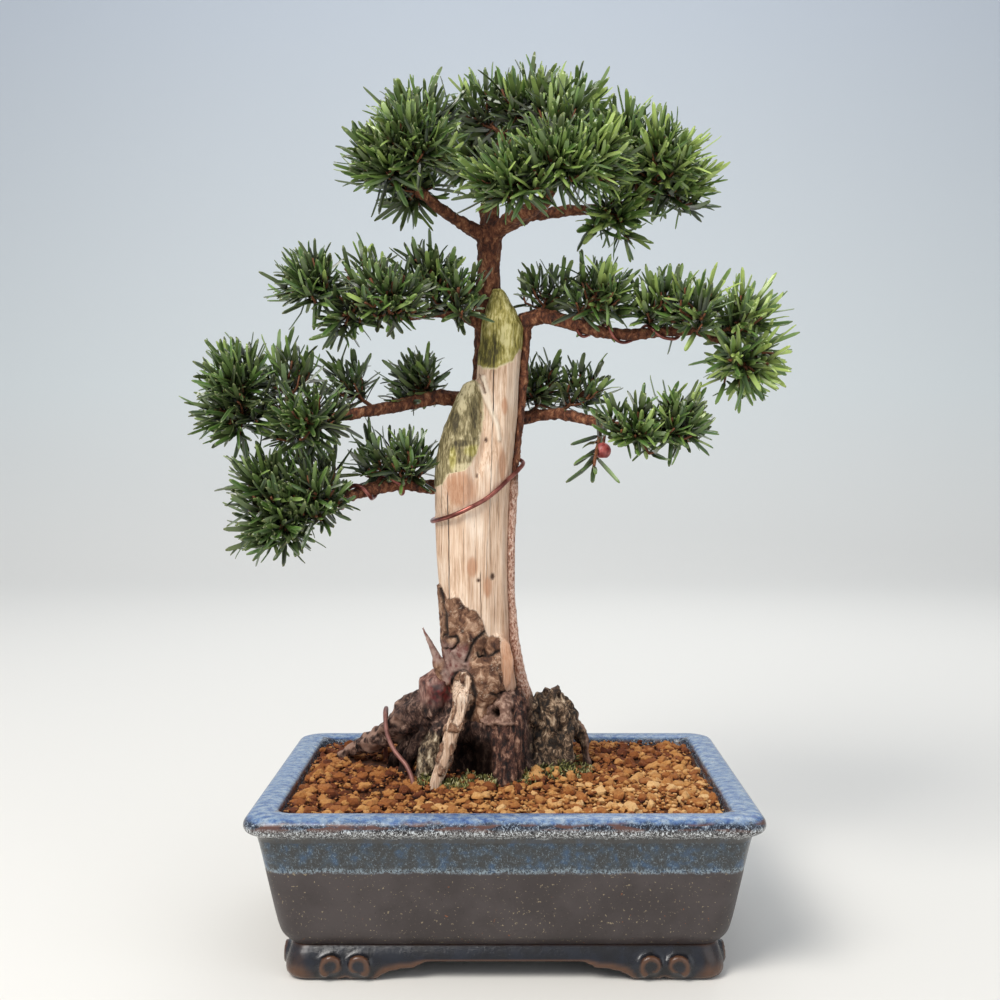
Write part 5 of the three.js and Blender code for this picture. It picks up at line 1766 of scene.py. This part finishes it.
def make_screens():
    look = Look("Black plastic", rough=0.55)
    look.put("Base Color", "#17181a")
    half = SCREEN_SIDE / 2
    z = FLOOR_TOP + GAP + 0.7
    for number, hand in ((1, -1), (2, 1)):
        x = hand * DRAIN_SPACING / 2
        bars = []
        for off in np.linspace(-OUTER_BAR, OUTER_BAR, SCREEN_BARS) * SCREEN_SIDE:
            bars.append(bar(x + off, 0, z, BAR_HALF, half, 0.5))
            bars.append(bar(x, off, z, half, BAR_HALF, 0.6))
        made = piece(f"lattice_{number}", *merged(bars), look.material, "screen", smooth=False)
        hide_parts(f"drain_screen_{number}")


# Stage


# The backdrop, in metres: a floor, a curve and a wall
FLOOR_FRONT = -3.0
FLOOR_BACK = 1.6
CURVE = 1.2
WALL_TOP = 4.5
HALF_WIDTH = 5


def make_stage():
    look = Look("Pale backdrop", rough=0.9)
    share = look.calc("DIVIDE", look.axis("Z"), 1600)
    # Painted fall-off of light: paler near the floor, greyer-blue up the wall
    look.put("Base Color", share.ramp((0.0, "#eae7e0"), (0.25, "#e2e6e4"), (0.9, "#ccd3db")))
    profile = [[FLOOR_FRONT, 0], [FLOOR_BACK, 0]]
    for k in range(1, 17):
        angle = k / 16 * TURN / 4
        profile.append([FLOOR_BACK + CURVE * math.sin(angle), CURVE - CURVE * math.cos(angle)])
    profile.append([FLOOR_BACK + CURVE, WALL_TOP])
    points = [[x, y, z] for y, z in profile for x in (-HALF_WIDTH, HALF_WIDTH)]
    faces = [[2 * k, 2 * k + 1, 2 * k + 3, 2 * k + 2] for k in range(len(profile) - 1)]
    mesh = bpy.data.meshes.new("backdrop")
    mesh.from_pydata(points, [], faces)
    mesh.shade_smooth()
    mesh.materials.append(look.material)
    backdrop = placed("backdrop", mesh)


def area_light(name, place, goal, size, power, tint):
    data = bpy.data.lights.new(name, "AREA")
    data.size = size
    data.energy = power
    data.color = tint
    lamp = placed(name, data)
    lamp.location = place
    lamp.rotation_euler = (Vector(goal) - Vector(place)).to_track_quat("-Z", "Y").to_euler()


def make_light():
    area_light("key", (-0.75, -1.0, 1.4), (0, 0, 0.2), 0.8, 27, (1.0, 0.97, 0.93))
    area_light("fill", (1.1, -0.9, 0.7), (0, 0, 0.2), 1.2, 4, (0.94, 0.97, 1.0))
    area_light("back", (0.3, 1.1, 1.2), (0, 0, 0.3), 1.0, 4, (1.0, 1.0, 1.0))
    area_light("wall", (0.0, 1.0, 2.0), (0, 2.8, 1.0), 1.6, 13, (0.95, 0.98, 1.0))
    world = bpy.data.worlds.new("Soft room")
    world.use_nodes = True
    sky = world.node_tree.nodes["Background"]
    sky.inputs["Color"].default_value = (0.86, 0.91, 1.0, 1)
    sky.inputs["Strength"].default_value = 0.55
    bpy.context.scene.world = world
    bpy.context.scene.view_settings.view_transform = "Standard"


def make_camera():
    """A level camera before the trunk, its picture shifted as the photograph is framed."""
    data = bpy.data.cameras.new("camera")
    data.sensor_width = 36
    data.lens = 45.72
    data.shift_x = -0.009
    data.shift_y = -0.055
    camera = placed("camera", data)
    camera.location = to_metres(CAMERA_PLACE)
    camera.rotation_euler = (math.pi / 2, 0, 0)
    bpy.context.scene.camera = camera


make_pot()
make_soil()
dead_wood = make_dead_wood()
living_wood = make_living_wood()
make_foliage()
make_wires(*merged([dead_wood, living_wood]))
make_berry()
make_screens()
make_stage()
make_light()
make_camera()
